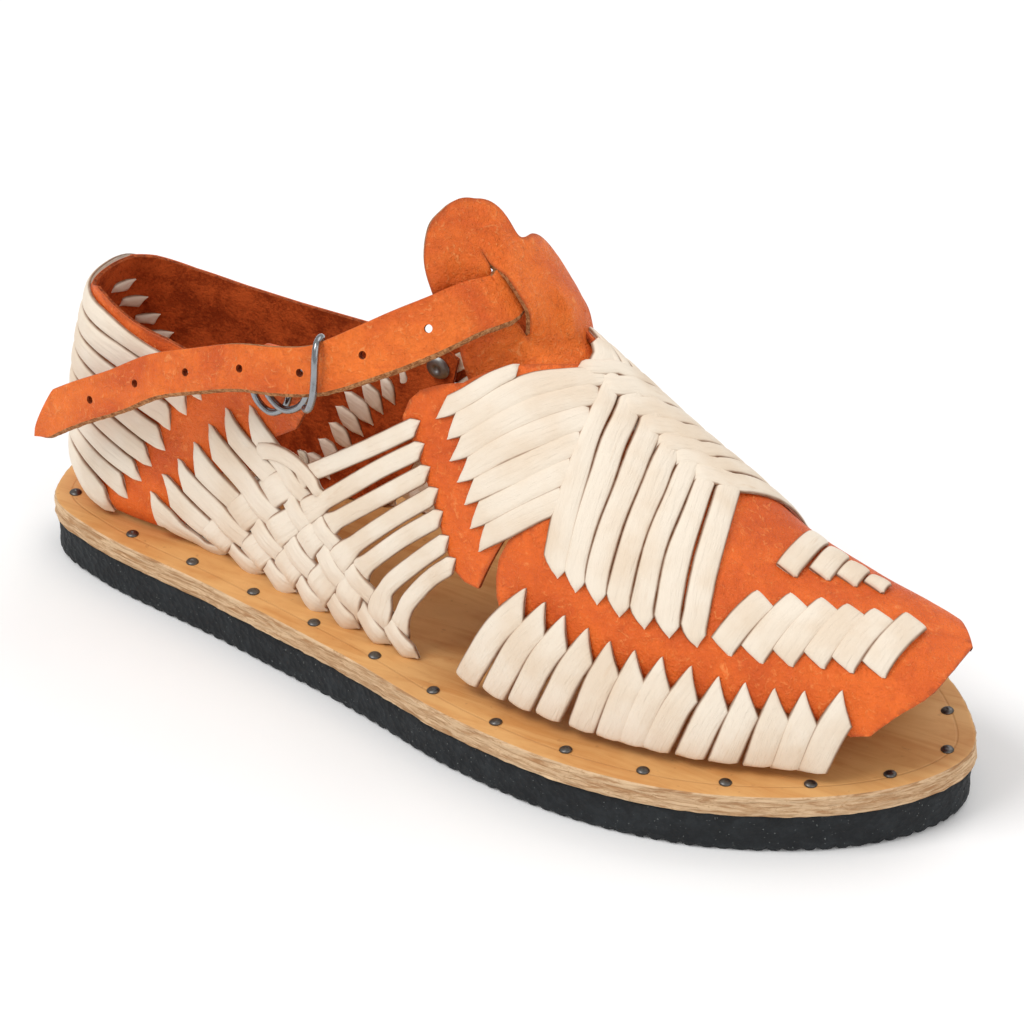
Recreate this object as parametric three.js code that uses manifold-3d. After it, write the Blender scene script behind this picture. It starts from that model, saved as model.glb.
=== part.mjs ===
// Huarache sandal, right shoe: woven leather upper on a leather board, nailed to a rubber sole.
// Millimetres, +X to the toe, +Y to the medial side, +Z up, origin on the ground under mid-length.
import * as THREE from 'three';
import { mergeVertices } from 'three/addons/utils/BufferGeometryUtils.js';
import Module from 'manifold-3d';

const wasm = await Module();
wasm.setup();

// ---- driving dimensions ----
const RUBBER = 12.0;            // thickness of the rubber sole
const BOARD = 6.2;              // thickness of the leather board
const GAP = 0.3;                // clearance where two pieces meet
const BOARD_TOP = RUBBER + GAP + BOARD;
const UPPER_FOOT = BOARD_TOP + GAP;
const WALL = 2.6;               // thongs and leather of the upper together
const TAB_THICK = 2.2;
const STRAP_THICK = 2.4;
const WIRE = 1.0;               // radius of the buckle wire
const HEEL_BACK = -142.6;       // back of the heel counter at the board
const HEEL_POWER = 2.6;         // squareness of the heel seen from above
const HEEL_ROUND = -98;         // where the counter starts to round in
const FORM_FRONT = 152;         // the last's form runs on past the toe and is cut there
const COUNTER_HEIGHT = 68;
const COLLAR_LEAN = 9.2;        // how far the counter's back leans forward at the collar
const STATIONS = 28;            // rings along the last in front of the heel
const ARCS = 26;                // steps round each ring
const TUCK = { depth: 4.4, height: 9, from: -55, full: -100 };

// ---- tables: the outline of the sole and the sections of the last ----
const SOLE_OUTLINE = [
  { x: -147.5, y: 3 }, { x: -141, y: -15.5 }, { x: -121, y: -25 }, { x: -77, y: -33.5 },
  { x: -25, y: -45 }, { x: 20, y: -57.3 }, { x: 60, y: -60.8 }, { x: 95, y: -54.3 },
  { x: 127, y: -36.5 }, { x: 143.5, y: -17 }, { x: 147.5, y: 0 }, { x: 138.5, y: 17 },
  { x: 115, y: 37 }, { x: 85, y: 45.4 }, { x: 45, y: 48 }, { x: 5, y: 46 },
  { x: -35, y: 42 }, { x: -75, y: 40 }, { x: -110, y: 38.5 }, { x: -134, y: 28.5 },
  { x: -145, y: 15 },
];
// One row a section: lateral and medial edge at the board, line and height of the ridge,
// and power, the squareness of the arch between them.
const SECTIONS = [
  { x: -98, lateral: -20.3, medial: 28.5, ridge: 4, height: 150, power: 2.6 },
  { x: -80, lateral: -20.8, medial: 29.5, ridge: 5, height: 150, power: 2.6 },
  { x: -60, lateral: -24.6, medial: 31, ridge: 6, height: 148, power: 2.5 },
  { x: -35, lateral: -32, medial: 33, ridge: 8, height: 138, power: 2.5 },
  { x: -8, lateral: -38, medial: 32.8, ridge: 10, height: 122, power: 2.5 },
  { x: 10, lateral: -43, medial: 32.5, ridge: 10, height: 111.5, power: 2.5 },
  { x: 30, lateral: -47, medial: 33, ridge: 10, height: 99, power: 2.5 },
  { x: 50, lateral: -48.5, medial: 33.5, ridge: 8, height: 86.3, power: 2.5 },
  { x: 70, lateral: -47.5, medial: 32.8, ridge: 5, height: 76, power: 2.5 },
  { x: 90, lateral: -43.5, medial: 31, ridge: 0, height: 66, power: 2.5 },
  { x: 110, lateral: -36.7, medial: 27.2, ridge: -1.5, height: 60, power: 2.6 },
  { x: 125, lateral: -32, medial: 24.6, ridge: -2, height: 57, power: 2.7 },
  { x: 140, lateral: -27.5, medial: 23.6, ridge: -2, height: 51.5, power: 2.8 },
  { x: 152, lateral: -24, medial: 23, ridge: -2, height: 46.5, power: 2.8 },
];

// ---- materials ----
const finish = (color, roughness, metalness = 0) =>
  new THREE.MeshStandardMaterial({ color, roughness, metalness });
const RUBBER_BLACK = finish(0x202326, 0.85);
const BOARD_TAN = finish(0xddb27c, 0.6);
const CREAM_THONG = finish(0xeee3d0, 0.65);
const ORANGE_LEATHER = finish(0xd9662f, 0.5);
const BRIGHT_STEEL = finish(0xb9bbbd, 0.25, 1);
const NAIL_STEEL = finish(0x5c5c5e, 0.4, 1);

// ---- solids ----
function toSolid(geometry) {
  const bare = geometry.clone();
  bare.deleteAttribute('normal');
  bare.deleteAttribute('uv');
  const welded = mergeVertices(bare, 1e-4);
  return new wasm.Manifold(new wasm.Mesh({
    numProp: 3,
    vertProperties: new Float32Array(welded.attributes.position.array),
    triVerts: new Uint32Array(welded.index.array),
  }));
}

function toGeometry(solid) {
  const mesh = solid.getMesh();
  const geometry = new THREE.BufferGeometry();
  geometry.setAttribute('position', new THREE.BufferAttribute(mesh.vertProperties, 3));
  geometry.setIndex(new THREE.BufferAttribute(mesh.triVerts, 1));
  return geometry;
}

function piece(name, shape, material) {
  const geometry = shape.isBufferGeometry ? shape : toGeometry(shape);
  geometry.computeVertexNormals();
  const mesh = new THREE.Mesh(geometry, material);
  mesh.name = name;
  return mesh;
}

// A closed solid through rings of equal count, with a fan over each end; closed joins last to first.
function ringSolid(rings, closed = false) {
  const count = rings[0].length;
  const points = rings.flat();
  const faces = [];
  const last = closed ? rings.length : rings.length - 1;
  for (let i = 0; i < last; i += 1) {
    const next = (i + 1) % rings.length;
    for (let j = 0; j < count; j += 1) {
      const k = (j + 1) % count;
      const a = i * count + j;
      const b = i * count + k;
      const c = next * count + k;
      const d = next * count + j;
      faces.push(a, d, c, a, c, b);
    }
  }
  if (!closed) {
    for (const i of [0, rings.length - 1]) {
      const centre = rings[i].reduce((sum, p) => sum.add(p), new THREE.Vector3());
      points.push(centre.divideScalar(count));
      for (let j = 0; j < count; j += 1) {
        const a = i * count + j;
        const b = i * count + ((j + 1) % count);
        faces.push(points.length - 1, ...(i === 0 ? [a, b] : [b, a]));
      }
    }
  }
  const geometry = new THREE.BufferGeometry();
  const numbers = points.flatMap((p) => p.toArray());
  geometry.setAttribute('position', new THREE.Float32BufferAttribute(numbers, 3));
  geometry.setIndex(faces);
  const solid = toSolid(geometry);
  return solid.volume() < 0 ? toSolid(flipped(geometry)) : solid;
}

function flipped(geometry) {
  const index = Array.from(geometry.index.array);
  for (let i = 0; i < index.length; i += 3) {
    [index[i + 1], index[i + 2]] = [index[i + 2], index[i + 1]];
  }
  geometry.setIndex(index);
  return geometry;
}

function extruded(points, depth) {
  const shape = new THREE.Shape(points.map((p) => new THREE.Vector2(p.x, p.y ?? p.z)));
  return new THREE.ExtrudeGeometry(shape, { depth, bevelEnabled: false });
}

// A flat outline in X and Y, raised between two heights.
function plate(points, low, high) {
  return toSolid(extruded(points, high - low).translate(0, 0, low));
}

// An outline in X and Z, run across the shoe between two widths.
function sidePrism(points, from, to) {
  return toSolid(extruded(points, to - from).rotateX(Math.PI / 2).translate(0, to, 0));
}

function wireLoop(path, closed) {
  const steps = closed ? 20 : 16;
  const circle = new THREE.Shape();
  circle.absarc(0, 0, WIRE, 0, 2 * Math.PI, false);
  return toSolid(new THREE.ExtrudeGeometry(circle, {
    steps, curveSegments: 4, extrudePath: new THREE.CatmullRomCurve3(path, closed), bevelEnabled: false,
  }));
}

// ---- the last ----
function sectionAt(x) {
  const at = THREE.MathUtils.clamp(x, SECTIONS[0].x, SECTIONS.at(-1).x);
  const i = Math.min(SECTIONS.findIndex((row, n) => n > 0 && at <= row.x), SECTIONS.length - 1);
  const rowAt = (n) => SECTIONS[THREE.MathUtils.clamp(n, 0, SECTIONS.length - 1)];
  const rows = [rowAt(i - 2), rowAt(i - 1), rowAt(i), rowAt(i + 1)];
  const blend = (key) => {
    const [before, start, end, after] = rows;
    const span = end.x - start.x;
    const t = (at - start.x) / span;
    const slopeIn = (end[key] - before[key]) / (end.x - before.x) * span;
    const slopeOut = (after[key] - start[key]) / (after.x - start.x) * span;
    return (2 * t ** 3 - 3 * t ** 2 + 1) * start[key] + (t ** 3 - 2 * t ** 2 + t) * slopeIn
      + (3 * t ** 2 - 2 * t ** 3) * end[key] + (t ** 3 - t ** 2) * slopeOut;
  };
  return {
    lateral: blend('lateral'), medial: blend('medial'), ridge: blend('ridge'),
    height: blend('height'), power: blend('power'),
  };
}

// Seen from the side the counter's back is upright, then leans forward to the collar.
function heelLean(z) {
  const up = THREE.MathUtils.clamp((z - BOARD_TOP) / COUNTER_HEIGHT, 0, 1.2);
  return COLLAR_LEAN * up ** 2.6;
}

// The counter's foot is drawn in where its thongs turn down into the board.
function footTuck(x, z) {
  const low = 1 - THREE.MathUtils.clamp((z - BOARD_TOP) / TUCK.height, 0, 1);
  return TUCK.depth * low ** 2 * THREE.MathUtils.smoothstep(-x, -TUCK.from, -TUCK.full);
}

// A point on the last, drawn in by an offset: turn runs from 0 at the lateral edge to PI at the medial.
function lastPoint(x, turn, offset = 0) {
  const s = sectionAt(x);
  const rise = Math.max(0, Math.sin(turn)) ** (2 / s.power);
  const z = BOARD_TOP + (s.height - 1.15 * offset - BOARD_TOP) * rise;
  const back = HEEL_BACK + offset;
  const inward = THREE.MathUtils.clamp((HEEL_ROUND - x) / (HEEL_ROUND - back), 0, 1);
  const round = (1 - inward ** HEEL_POWER) ** (1 / HEEL_POWER);
  const side = Math.cos(turn);
  const tuck = footTuck(x, z);
  const half = (side >= 0 ? s.ridge - s.lateral : s.medial - s.ridge) - offset - tuck;
  const y = s.ridge - Math.sign(side) * half * round * Math.abs(side) ** (2 / s.power);
  return new THREE.Vector3(x + (heelLean(z) + tuck) * inward ** 1.5, y, z);
}

// The whole form of the last as a closed solid, its bottom at the given height.
function lastForm(offset, bottom, stations, arcs) {
  const back = HEEL_BACK + offset;
  const xs = [];
  for (let i = 0; i <= 9; i += 1) {
    xs.push(HEEL_ROUND - (HEEL_ROUND - back) * Math.cos((i / 9) * Math.PI / 2 + (i === 0 ? 0.02 : 0)));
  }
  for (let i = 1; i <= stations; i += 1) {
    xs.push(HEEL_ROUND + (FORM_FRONT - HEEL_ROUND) * i / stations);
  }
  return ringSolid(xs.map((x) => {
    const ring = [];
    for (let i = 0; i <= arcs; i += 1) {
      ring.push(lastPoint(x, Math.PI * i / arcs, offset));
    }
    const [first, end] = [ring[0], ring.at(-1)];
    ring.push(new THREE.Vector3(end.x, end.y, bottom));
    ring.unshift(new THREE.Vector3(first.x, first.y, bottom));
    return ring;
  }));
}

// ---- tables: cuts through the wall of the upper, seen from the side (x, z) or from above (x, y) ----
const THROAT_LATERAL = [
  { x: -160, z: 89 }, { x: -131, z: 89 }, { x: -123, z: 92 }, { x: -116, z: 91.4 },
  { x: -109, z: 89.4 }, { x: -99.5, z: 85.4 }, { x: -91, z: 83.4 }, { x: -78, z: 81.6 }, { x: -69, z: 82.6 },
  { x: -64, z: 84.6 }, { x: -60, z: 88 }, { x: -48.5, z: 88 }, { x: -47.5, z: 79 }, { x: -51, z: 72.5 },
  { x: -61, z: 66 }, { x: -56, z: 64 }, { x: -45, z: 60.5 }, { x: -33, z: 64.5 }, { x: -13, z: 86.5 },
  { x: -12.5, z: 92 }, { x: -9, z: 98 }, { x: -2, z: 101.5 }, { x: 13, z: 106.6 }, { x: 21, z: 105.8 },
  { x: 32, z: 112 }, { x: 32, z: 165 }, { x: -160, z: 165 },
];
const THROAT_MEDIAL = [
  { x: -160, z: 89 }, { x: -129, z: 86.8 }, { x: -112, z: 81.9 }, { x: -80, z: 79.3 }, { x: -50, z: 78.2 },
  { x: -33, z: 78 }, { x: -29, z: 74 }, { x: -31, z: 66 }, { x: -40, z: 61.5 }, { x: -33, z: 63 },
  { x: -13, z: 86.5 }, { x: -12.5, z: 92 }, { x: -9, z: 98 }, { x: -2, z: 101.5 }, { x: 13, z: 106.6 },
  { x: 21, z: 105.8 }, { x: 32, z: 112 }, { x: 32, z: 165 }, { x: -160, z: 165 },
];
const WAIST_GAP = [
  { x: -1, z: 10 }, { x: -1.5, z: 21 }, { x: -5, z: 29 }, { x: -3, z: 37 }, { x: 9.5, z: 52 },
  { x: 18, z: 51 }, { x: 21.5, z: 61 }, { x: 23, z: 57.5 }, { x: 25.2, z: 49 }, { x: 16, z: 22 },
  { x: 15, z: 10 },
];
const TOE_GAP = [
  { x: 117.5, z: 10 }, { x: 118.5, z: 28 }, { x: 123, z: 31 }, { x: 128, z: 32.6 }, { x: 133, z: 35 },
  { x: 138, z: 39.5 }, { x: 142, z: 44.5 }, { x: 144, z: 48 }, { x: 160, z: 48 }, { x: 160, z: 10 },
];
const TOE_EDGE = [
  { x: 124, y: -60 }, { x: 126.5, y: -33 }, { x: 133.5, y: -29.5 }, { x: 138.5, y: -25.5 },
  { x: 142, y: -19.5 }, { x: 143.8, y: -10 }, { x: 144.2, y: 0 }, { x: 143, y: 10 }, { x: 140, y: 18 },
  { x: 134.5, y: 24.5 }, { x: 128, y: 29 }, { x: 126, y: 60 }, { x: 170, y: 60 }, { x: 170, y: -60 },
];
// The tab seen from above: the tall lateral lobe, the notch and the low medial lobe.
const TAB_OUTLINE = [
  { x: 29.5, y: -10.8 }, { x: 24, y: -13 }, { x: 14, y: -18 }, { x: 5, y: -20 }, { x: -2, y: -18.6 },
  { x: -9.5, y: -17.6 }, { x: -13.6, y: -15.6 }, { x: -14.9, y: -11 }, { x: -13.6, y: -5.5 },
  { x: -10.4, y: 1.5 }, { x: -6, y: 7 }, { x: -1, y: 10 }, { x: 2.6, y: 11.4 }, { x: 3.4, y: 13.6 },
  { x: 3, y: 17 }, { x: 3.6, y: 21 }, { x: 6, y: 24.4 }, { x: 9, y: 25.4 }, { x: 12, y: 24 },
  { x: 14, y: 20.5 }, { x: 15.6, y: 17.6 }, { x: 17, y: 15.6 }, { x: 19.5, y: 13.4 }, { x: 29.5, y: 12.4 },
];

// ---- sole ----
const LUG_PITCH = 9.4;
const LUG_GROOVE = { width: 3.2, depth: 1.6, flare: 0.6 };
const SOLE_REACH = 148;       // half the length that the grooves cover
const SOLE_SIDE = 80;         // more than half the sole's width
const NAIL_ROW = { count: 25, first: 0.078, last: 0.925, inset: 6.2 };
const NAIL = { head: 1.7, rise: 0.7, shank: 0.8, depth: 12, point: 1.5, hole: 1.15 };
const HEEL_NAILS = [0.027, 0.972];

function soleOutline(grow) {
  const points = SOLE_OUTLINE.map((p) => new THREE.Vector3(p.x, p.y, 0));
  const curve = new THREE.CatmullRomCurve3(points, true, 'centripetal');
  return (fraction) => {
    const at = curve.getPointAt(fraction % 1);
    const run = curve.getTangentAt(fraction % 1);
    return { x: at.x + run.y * grow, y: at.y - run.x * grow };
  };
}

function ringOf(count, pointAt) {
  return Array.from({ length: count }, (_, i) => pointAt(i / count));
}

// Places round the sole as fractions of its outline, from the heel by the lateral side.
const nailFractions = Array.from({ length: NAIL_ROW.count }, (_, i) => (
  THREE.MathUtils.lerp(NAIL_ROW.first, NAIL_ROW.last, i / (NAIL_ROW.count - 1))
));
const nailPlaces = [...nailFractions, ...HEEL_NAILS].map(soleOutline(-NAIL_ROW.inset));

function nailHoles(low, high) {
  return nailPlaces.map(({ x, y }) => {
    const hole = new THREE.CylinderGeometry(NAIL.hole, NAIL.hole, high - low, 6);
    return toSolid(hole.rotateX(Math.PI / 2).translate(x, y, (low + high) / 2));
  });
}

function cutAll(solid, cutters) {
  return cutters.reduce((whole, cutter) => whole.subtract(cutter), solid);
}

function outsole() {
  const rubber = plate(ringOf(60, soleOutline(-1)), 0, RUBBER);
  const grooves = [];
  for (let x = LUG_PITCH / 2; x < SOLE_REACH; x += LUG_PITCH) {
    for (const centre of [-x, x]) {
      const { width, depth, flare } = LUG_GROOVE;
      grooves.push(sidePrism([
        { x: centre - width / 2, z: -1 }, { x: centre + width / 2, z: -1 },
        { x: centre + width / 2 - flare, z: depth }, { x: centre - width / 2 + flare, z: depth },
      ], -SOLE_SIDE, SOLE_SIDE));
    }
  }
  return cutAll(rubber, [...grooves, ...nailHoles(BOARD_TOP - NAIL.depth - 1, RUBBER + 1)]);
}

function footbed() {
  const board = plate(ringOf(70, soleOutline(0)), RUBBER + GAP, BOARD_TOP);
  return cutAll(board, nailHoles(RUBBER - 1, BOARD_TOP + 1));
}

function nails() {
  const profile = [
    [0, -NAIL.depth], [NAIL.shank, -NAIL.depth + NAIL.point], [NAIL.shank, 0], [NAIL.head, 0],
    [NAIL.head * 0.8, NAIL.rise * 0.7], [0, NAIL.rise],
  ].map(([radius, z]) => new THREE.Vector2(radius, z));
  return nailPlaces.map(({ x, y }, i) => {
    const body = toSolid(new THREE.LatheGeometry(profile, 6).rotateX(Math.PI / 2));
    const nail = piece(`nail_${String(i + 1).padStart(2, '0')}`, body, NAIL_STEEL);
    nail.position.set(x, y, UPPER_FOOT);
    return nail;
  });
}

// ---- upper ----
// A point of the last's side at a height: side is -1 lateral, 1 medial.
function onLast(x, z, side, offset = 0) {
  const s = sectionAt(x);
  const rise = (z - BOARD_TOP) / (s.height - BOARD_TOP);
  const turn = Math.asin(rise ** (s.power / 2));
  return lastPoint(x, side < 0 ? turn : Math.PI - turn, offset);
}

// Slots between the seven thongs that run forward from the side weave to the facing.
const FORWARD_COUNT = 7;
const FORWARD_FIRST = { x: -7.3, z: 89.2, slope: 38, length: 21 };
const FORWARD_LAST = { x: 10.2, z: 57.3, slope: 48, length: 11 };
const FORWARD_SLOT = { start: 2.5, startHalf: 0.4, wide: 9, wideHalf: 1 };

function forwardSlots() {
  const slots = [];
  for (let i = 0; i < FORWARD_COUNT - 1; i += 1) {
    const at = (i + 0.5) / (FORWARD_COUNT - 1);
    const between = (key) => THREE.MathUtils.lerp(FORWARD_FIRST[key], FORWARD_LAST[key], at);
    const slope = THREE.MathUtils.degToRad(between('slope'));
    const { start, startHalf, wide, wideHalf } = FORWARD_SLOT;
    const along = (run, across) => ({
      x: between('x') - run * Math.cos(slope) - across * Math.sin(slope),
      z: between('z') - run * Math.sin(slope) + across * Math.cos(slope),
    });
    slots.push(sidePrism([
      along(start, startHalf), along(wide, wideHalf), along(between('length'), 0),
      along(wide, -wideHalf), along(start, -startHalf),
    ], -SOLE_SIDE, SOLE_SIDE));
  }
  return slots;
}

// The counter's front tab folds over outwards and holds the tops of the two buckle rings.
const FOLD = { y: -27.2, z: 93.5, inner: 3, thick: 1.6, from: -56, to: -52, foot: 76, flap: 89.5 };

function ringFold() {
  const outer = FOLD.inner + FOLD.thick;
  const shape = new THREE.Shape();
  shape.moveTo(FOLD.y + outer, FOLD.foot);
  shape.lineTo(FOLD.y + outer, FOLD.z);
  shape.absarc(FOLD.y, FOLD.z, outer, 0, Math.PI, false);
  shape.lineTo(FOLD.y - outer, FOLD.flap);
  shape.lineTo(FOLD.y - FOLD.inner, FOLD.flap);
  shape.lineTo(FOLD.y - FOLD.inner, FOLD.z);
  shape.absarc(FOLD.y, FOLD.z, FOLD.inner, Math.PI, 0, true);
  shape.lineTo(FOLD.y + FOLD.inner, FOLD.foot);
  const depth = FOLD.to - FOLD.from;
  const strip = new THREE.ExtrudeGeometry(shape, { depth, curveSegments: 8, bevelEnabled: false });
  // the shape's X is the shoe's Y and its Y is up
  strip.applyMatrix4(new THREE.Matrix4().makeBasis(
    new THREE.Vector3(0, 1, 0), new THREE.Vector3(0, 0, 1), new THREE.Vector3(1, 0, 0),
  ));
  return toSolid(strip.translate(FOLD.from, 0, 0));
}

const RIVET = { x: -36.5, z: 70, shank: 1.5, hole: 1.9, head: 3.6, dome: 1.1 };

// Along and across the medial wall at the rivet.
function rivetFrame() {
  const at = onLast(RIVET.x, RIVET.z, 1);
  const up = onLast(RIVET.x, RIVET.z + 1, 1).sub(at).normalize();
  const along = onLast(RIVET.x + 1, RIVET.z, 1).sub(at).normalize();
  const out = new THREE.Vector3().crossVectors(up, along).normalize();
  if (out.y < 0) out.negate();
  return { at, out };
}

function alongRivet(geometry, distance) {
  const { at, out } = rivetFrame();
  const turn = new THREE.Quaternion().setFromUnitVectors(new THREE.Vector3(0, 1, 0), out);
  return geometry.applyQuaternion(turn).translate(...at.clone().addScaledVector(out, distance).toArray());
}

function rivetHole() {
  return toSolid(alongRivet(new THREE.CylinderGeometry(RIVET.hole, RIVET.hole, 14, 12), 0));
}

function upper() {
  const outer = lastForm(0, UPPER_FOOT - 4, STATIONS, ARCS);
  const below = toSolid(new THREE.BoxGeometry(400, 200, 2 * UPPER_FOOT));
  const hollow = lastForm(WALL, UPPER_FOOT - 6, STATIONS, ARCS);
  const shell = outer.subtract(hollow);
  const middle = 9;
  return cutAll(shell, [
    sidePrism(THROAT_LATERAL, -90, middle),
    sidePrism(THROAT_MEDIAL, middle, 90),
    sidePrism(WAIST_GAP, -90, 90),
    sidePrism(TOE_GAP, -90, 90),
    plate(TOE_EDGE, 0, 90),
    below,
    rivetHole(),
    ...forwardSlots(),
  ]).add(ringFold());
}

// ---- instep tab ----
// The sheet slopes up from the throat and is arched across, more sharply on the medial side.
const TAB = { x: 20, z: 105.5, slope: 1.25, middle: 9, lateral: 34, medial: 22, lean: 1.6, lift: 3.2 };
const TAB_SHEET = { front: 33, back: -17, lateral: -22.5, medial: 29, row: 2.8, columns: 16 };
const SLOT = { y: -2.8, from: -4, to: 12.8, width: 5, taper: 2.2, drop: 3 };
const STRAP_CROSSING = 4.6;     // where the strap's centre line goes through the slot

const smooth = (from, to, at) => THREE.MathUtils.smoothstep(at, from, to);

function tabArch(x, y) {
  const off = y - TAB.middle;
  const radius = off < 0 ? TAB.lateral : TAB.medial;
  return TAB.z + (TAB.x - x) * TAB.slope - TAB.lean * (radius - Math.sqrt(radius ** 2 - off ** 2));
}

// The arch, kept under the wall of the upper where it runs in below the weave.
function tabHeight(x, y) {
  const arch = tabArch(x, y);
  const inside = Math.min(arch, lastHeight(x, y, WALL) - GAP - 0.4);
  const covered = smooth(-6, -1.5, throatHeight(x) - lastHeight(x, y, 0));
  return THREE.MathUtils.lerp(arch, inside, y < TAB.middle ? covered : smooth(15, 20, x));
}

// The strap behind the tab lifts it, and comes out over the lateral lobe through the slot.
function tabStep(x, y) {
  const near = 1 - smooth(9, 16, Math.abs(x - STRAP_CROSSING));
  const outside = smooth(-SLOT.width / 2, SLOT.width / 2, SLOT.y - y);
  return near * THREE.MathUtils.lerp(TAB.lift, -SLOT.drop, outside);
}

// Height of the throat's edge at a place along the shoe, seen from the side.
function throatHeight(x) {
  const rows = THROAT_LATERAL.filter((row) => row.x > -40 && row.z < 120);
  if (x >= rows.at(-1).x) return rows.at(-1).z;
  const i = Math.max(1, rows.findIndex((row) => row.x >= x));
  const [a, b] = [rows[i - 1], rows[i]];
  return THREE.MathUtils.lerp(a.z, b.z, (x - a.x) / (b.x - a.x));
}

function lastHeight(x, y, offset) {
  const s = sectionAt(x);
  const half = (y < s.ridge ? s.ridge - s.lateral : s.medial - s.ridge) - offset;
  const side = Math.min(Math.abs(y - s.ridge) / half, 0.995);
  const turn = Math.acos(side ** (s.power / 2));
  return BOARD_TOP + (s.height - 1.15 * offset - BOARD_TOP) * Math.sin(turn) ** (2 / s.power);
}

function sheetNormal(height, x, y) {
  const step = 0.3;
  return new THREE.Vector3(
    -(height(x + step, y) - height(x - step, y)) / (2 * step),
    -(height(x, y + step) - height(x, y - step)) / (2 * step),
    1,
  ).normalize();
}

function instepTab() {
  const rings = [];
  for (let x = TAB_SHEET.front; x >= TAB_SHEET.back; x -= TAB_SHEET.row) {
    const top = [];
    const under = [];
    for (let i = 0; i <= TAB_SHEET.columns; i += 1) {
      const y = THREE.MathUtils.lerp(TAB_SHEET.lateral, TAB_SHEET.medial, i / TAB_SHEET.columns);
      const normal = sheetNormal(tabHeight, x, y);
      const point = new THREE.Vector3(x, y, tabHeight(x, y)).addScaledVector(normal, tabStep(x, y));
      top.push(point);
      under.push(point.clone().addScaledVector(normal, -TAB_THICK));
    }
    rings.push([...top, ...under.reverse()]);
  }
  const { from, to, taper } = SLOT;
  const [near, far] = [SLOT.y - SLOT.width / 2, SLOT.y + SLOT.width / 2];
  const slot = plate([
    { x: from, y: SLOT.y }, { x: from + taper, y: near }, { x: to - taper, y: near },
    { x: to, y: SLOT.y }, { x: to - taper, y: far }, { x: from + taper, y: far },
  ], 60, 170);
  const sheet = ringSolid(rings).intersect(plate(TAB_OUTLINE, 60, 170));
  const cut = cutAll(sheet, [slot, wallClearance()]);
  return cut.decompose().sort((a, b) => b.volume() - a.volume())[0];
}

// The wall of the upper with the clearance that the tab keeps to it.
function wallClearance() {
  const outside = lastForm(-GAP, UPPER_FOOT, STATIONS, ARCS);
  const wall = outside.subtract(lastForm(WALL + GAP, UPPER_FOOT - 6, STATIONS, ARCS));
  const throat = sidePrism(THROAT_LATERAL, -90, 90).translate(-GAP, 0, GAP);
  return wall.subtract(throat);
}

// ---- ankle strap ----
// Centre line from the medial rivet over the instep to the free end. The tilt, in degrees,
// leans the upper edge in over the foot.
const STRAP_MEDIAL = [
  { x: -44, y: 34.2, z: 63.5, tilt: 0, width: 13 },
  { x: -36.5, y: 33.6, z: 70, tilt: 0, width: 13.8 },
  { x: -24, y: 34.4, z: 80, tilt: 0, width: 14.4 },
  { x: -10, y: 33.6, z: 92, tilt: 0, width: 14.4 },
];
const STRAP_LATERAL = [
  { x: 4.5, y: -3.8, z: 119.3, tilt: 38, width: 14.2 },
  { x: 1.9, y: -9, z: 119, tilt: 38, width: 15 },
  { x: -1, y: -13.6, z: 118.7, tilt: 36, width: 15.4 },
  { x: -6.8, y: -21.3, z: 116.1, tilt: 33, width: 16 },
  { x: -14.6, y: -26, z: 111.8, tilt: 30, width: 16.4 },
  { x: -25, y: -29.6, z: 105.8, tilt: 25, width: 15.6 },
  { x: -38, y: -33, z: 99, tilt: 18, width: 14.2 },
  { x: -49, y: -33.9, z: 96, tilt: 18, width: 13.8 },
  { x: -63, y: -33.4, z: 93, tilt: 18, width: 13.4 },
  { x: -77, y: -32.6, z: 87.6, tilt: 20, width: 13 },
  { x: -91.5, y: -32, z: 81.4, tilt: 20, width: 12.8 },
  { x: -106, y: -31, z: 71.8, tilt: 14, width: 12.8 },
  { x: -120.5, y: -29.6, z: 63, tilt: 12, width: 12.8 },
  { x: -138, y: -28, z: 51, tilt: 10, width: 12.8 },
];
const STRAP_BEHIND_TAB = [
  { x: 5.4, y: 28 }, { x: 8, y: 23 }, { x: 9.4, y: 17 }, { x: 7.6, y: 9 }, { x: 5.4, y: 1.6 },
];
const STRAP_UNDER_TILT = 38;
const STRAP_UNDER_WIDTH = 13.2;
const STRAP_INSET = 1.5;        // its centre line under the tab's arch
const STRAP_STEPS = 52;
const STRAP_HOLES = { count: 7, first: 127, pitch: 20, radius: 1.15 };
const STRAP_TIP = { length: 14, drop: 1.6, low: 0.62 };

// The strap behind the tab follows the tab's arch, a little inside it.
function strapUnderTab() {
  return STRAP_BEHIND_TAB.map(({ x, y }) => {
    const point = new THREE.Vector3(x, y, tabArch(x, y));
    point.addScaledVector(sheetNormal(tabArch, x, y), -STRAP_INSET);
    return { x: point.x, y: point.y, z: point.z, tilt: STRAP_UNDER_TILT, width: STRAP_UNDER_WIDTH };
  });
}

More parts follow.
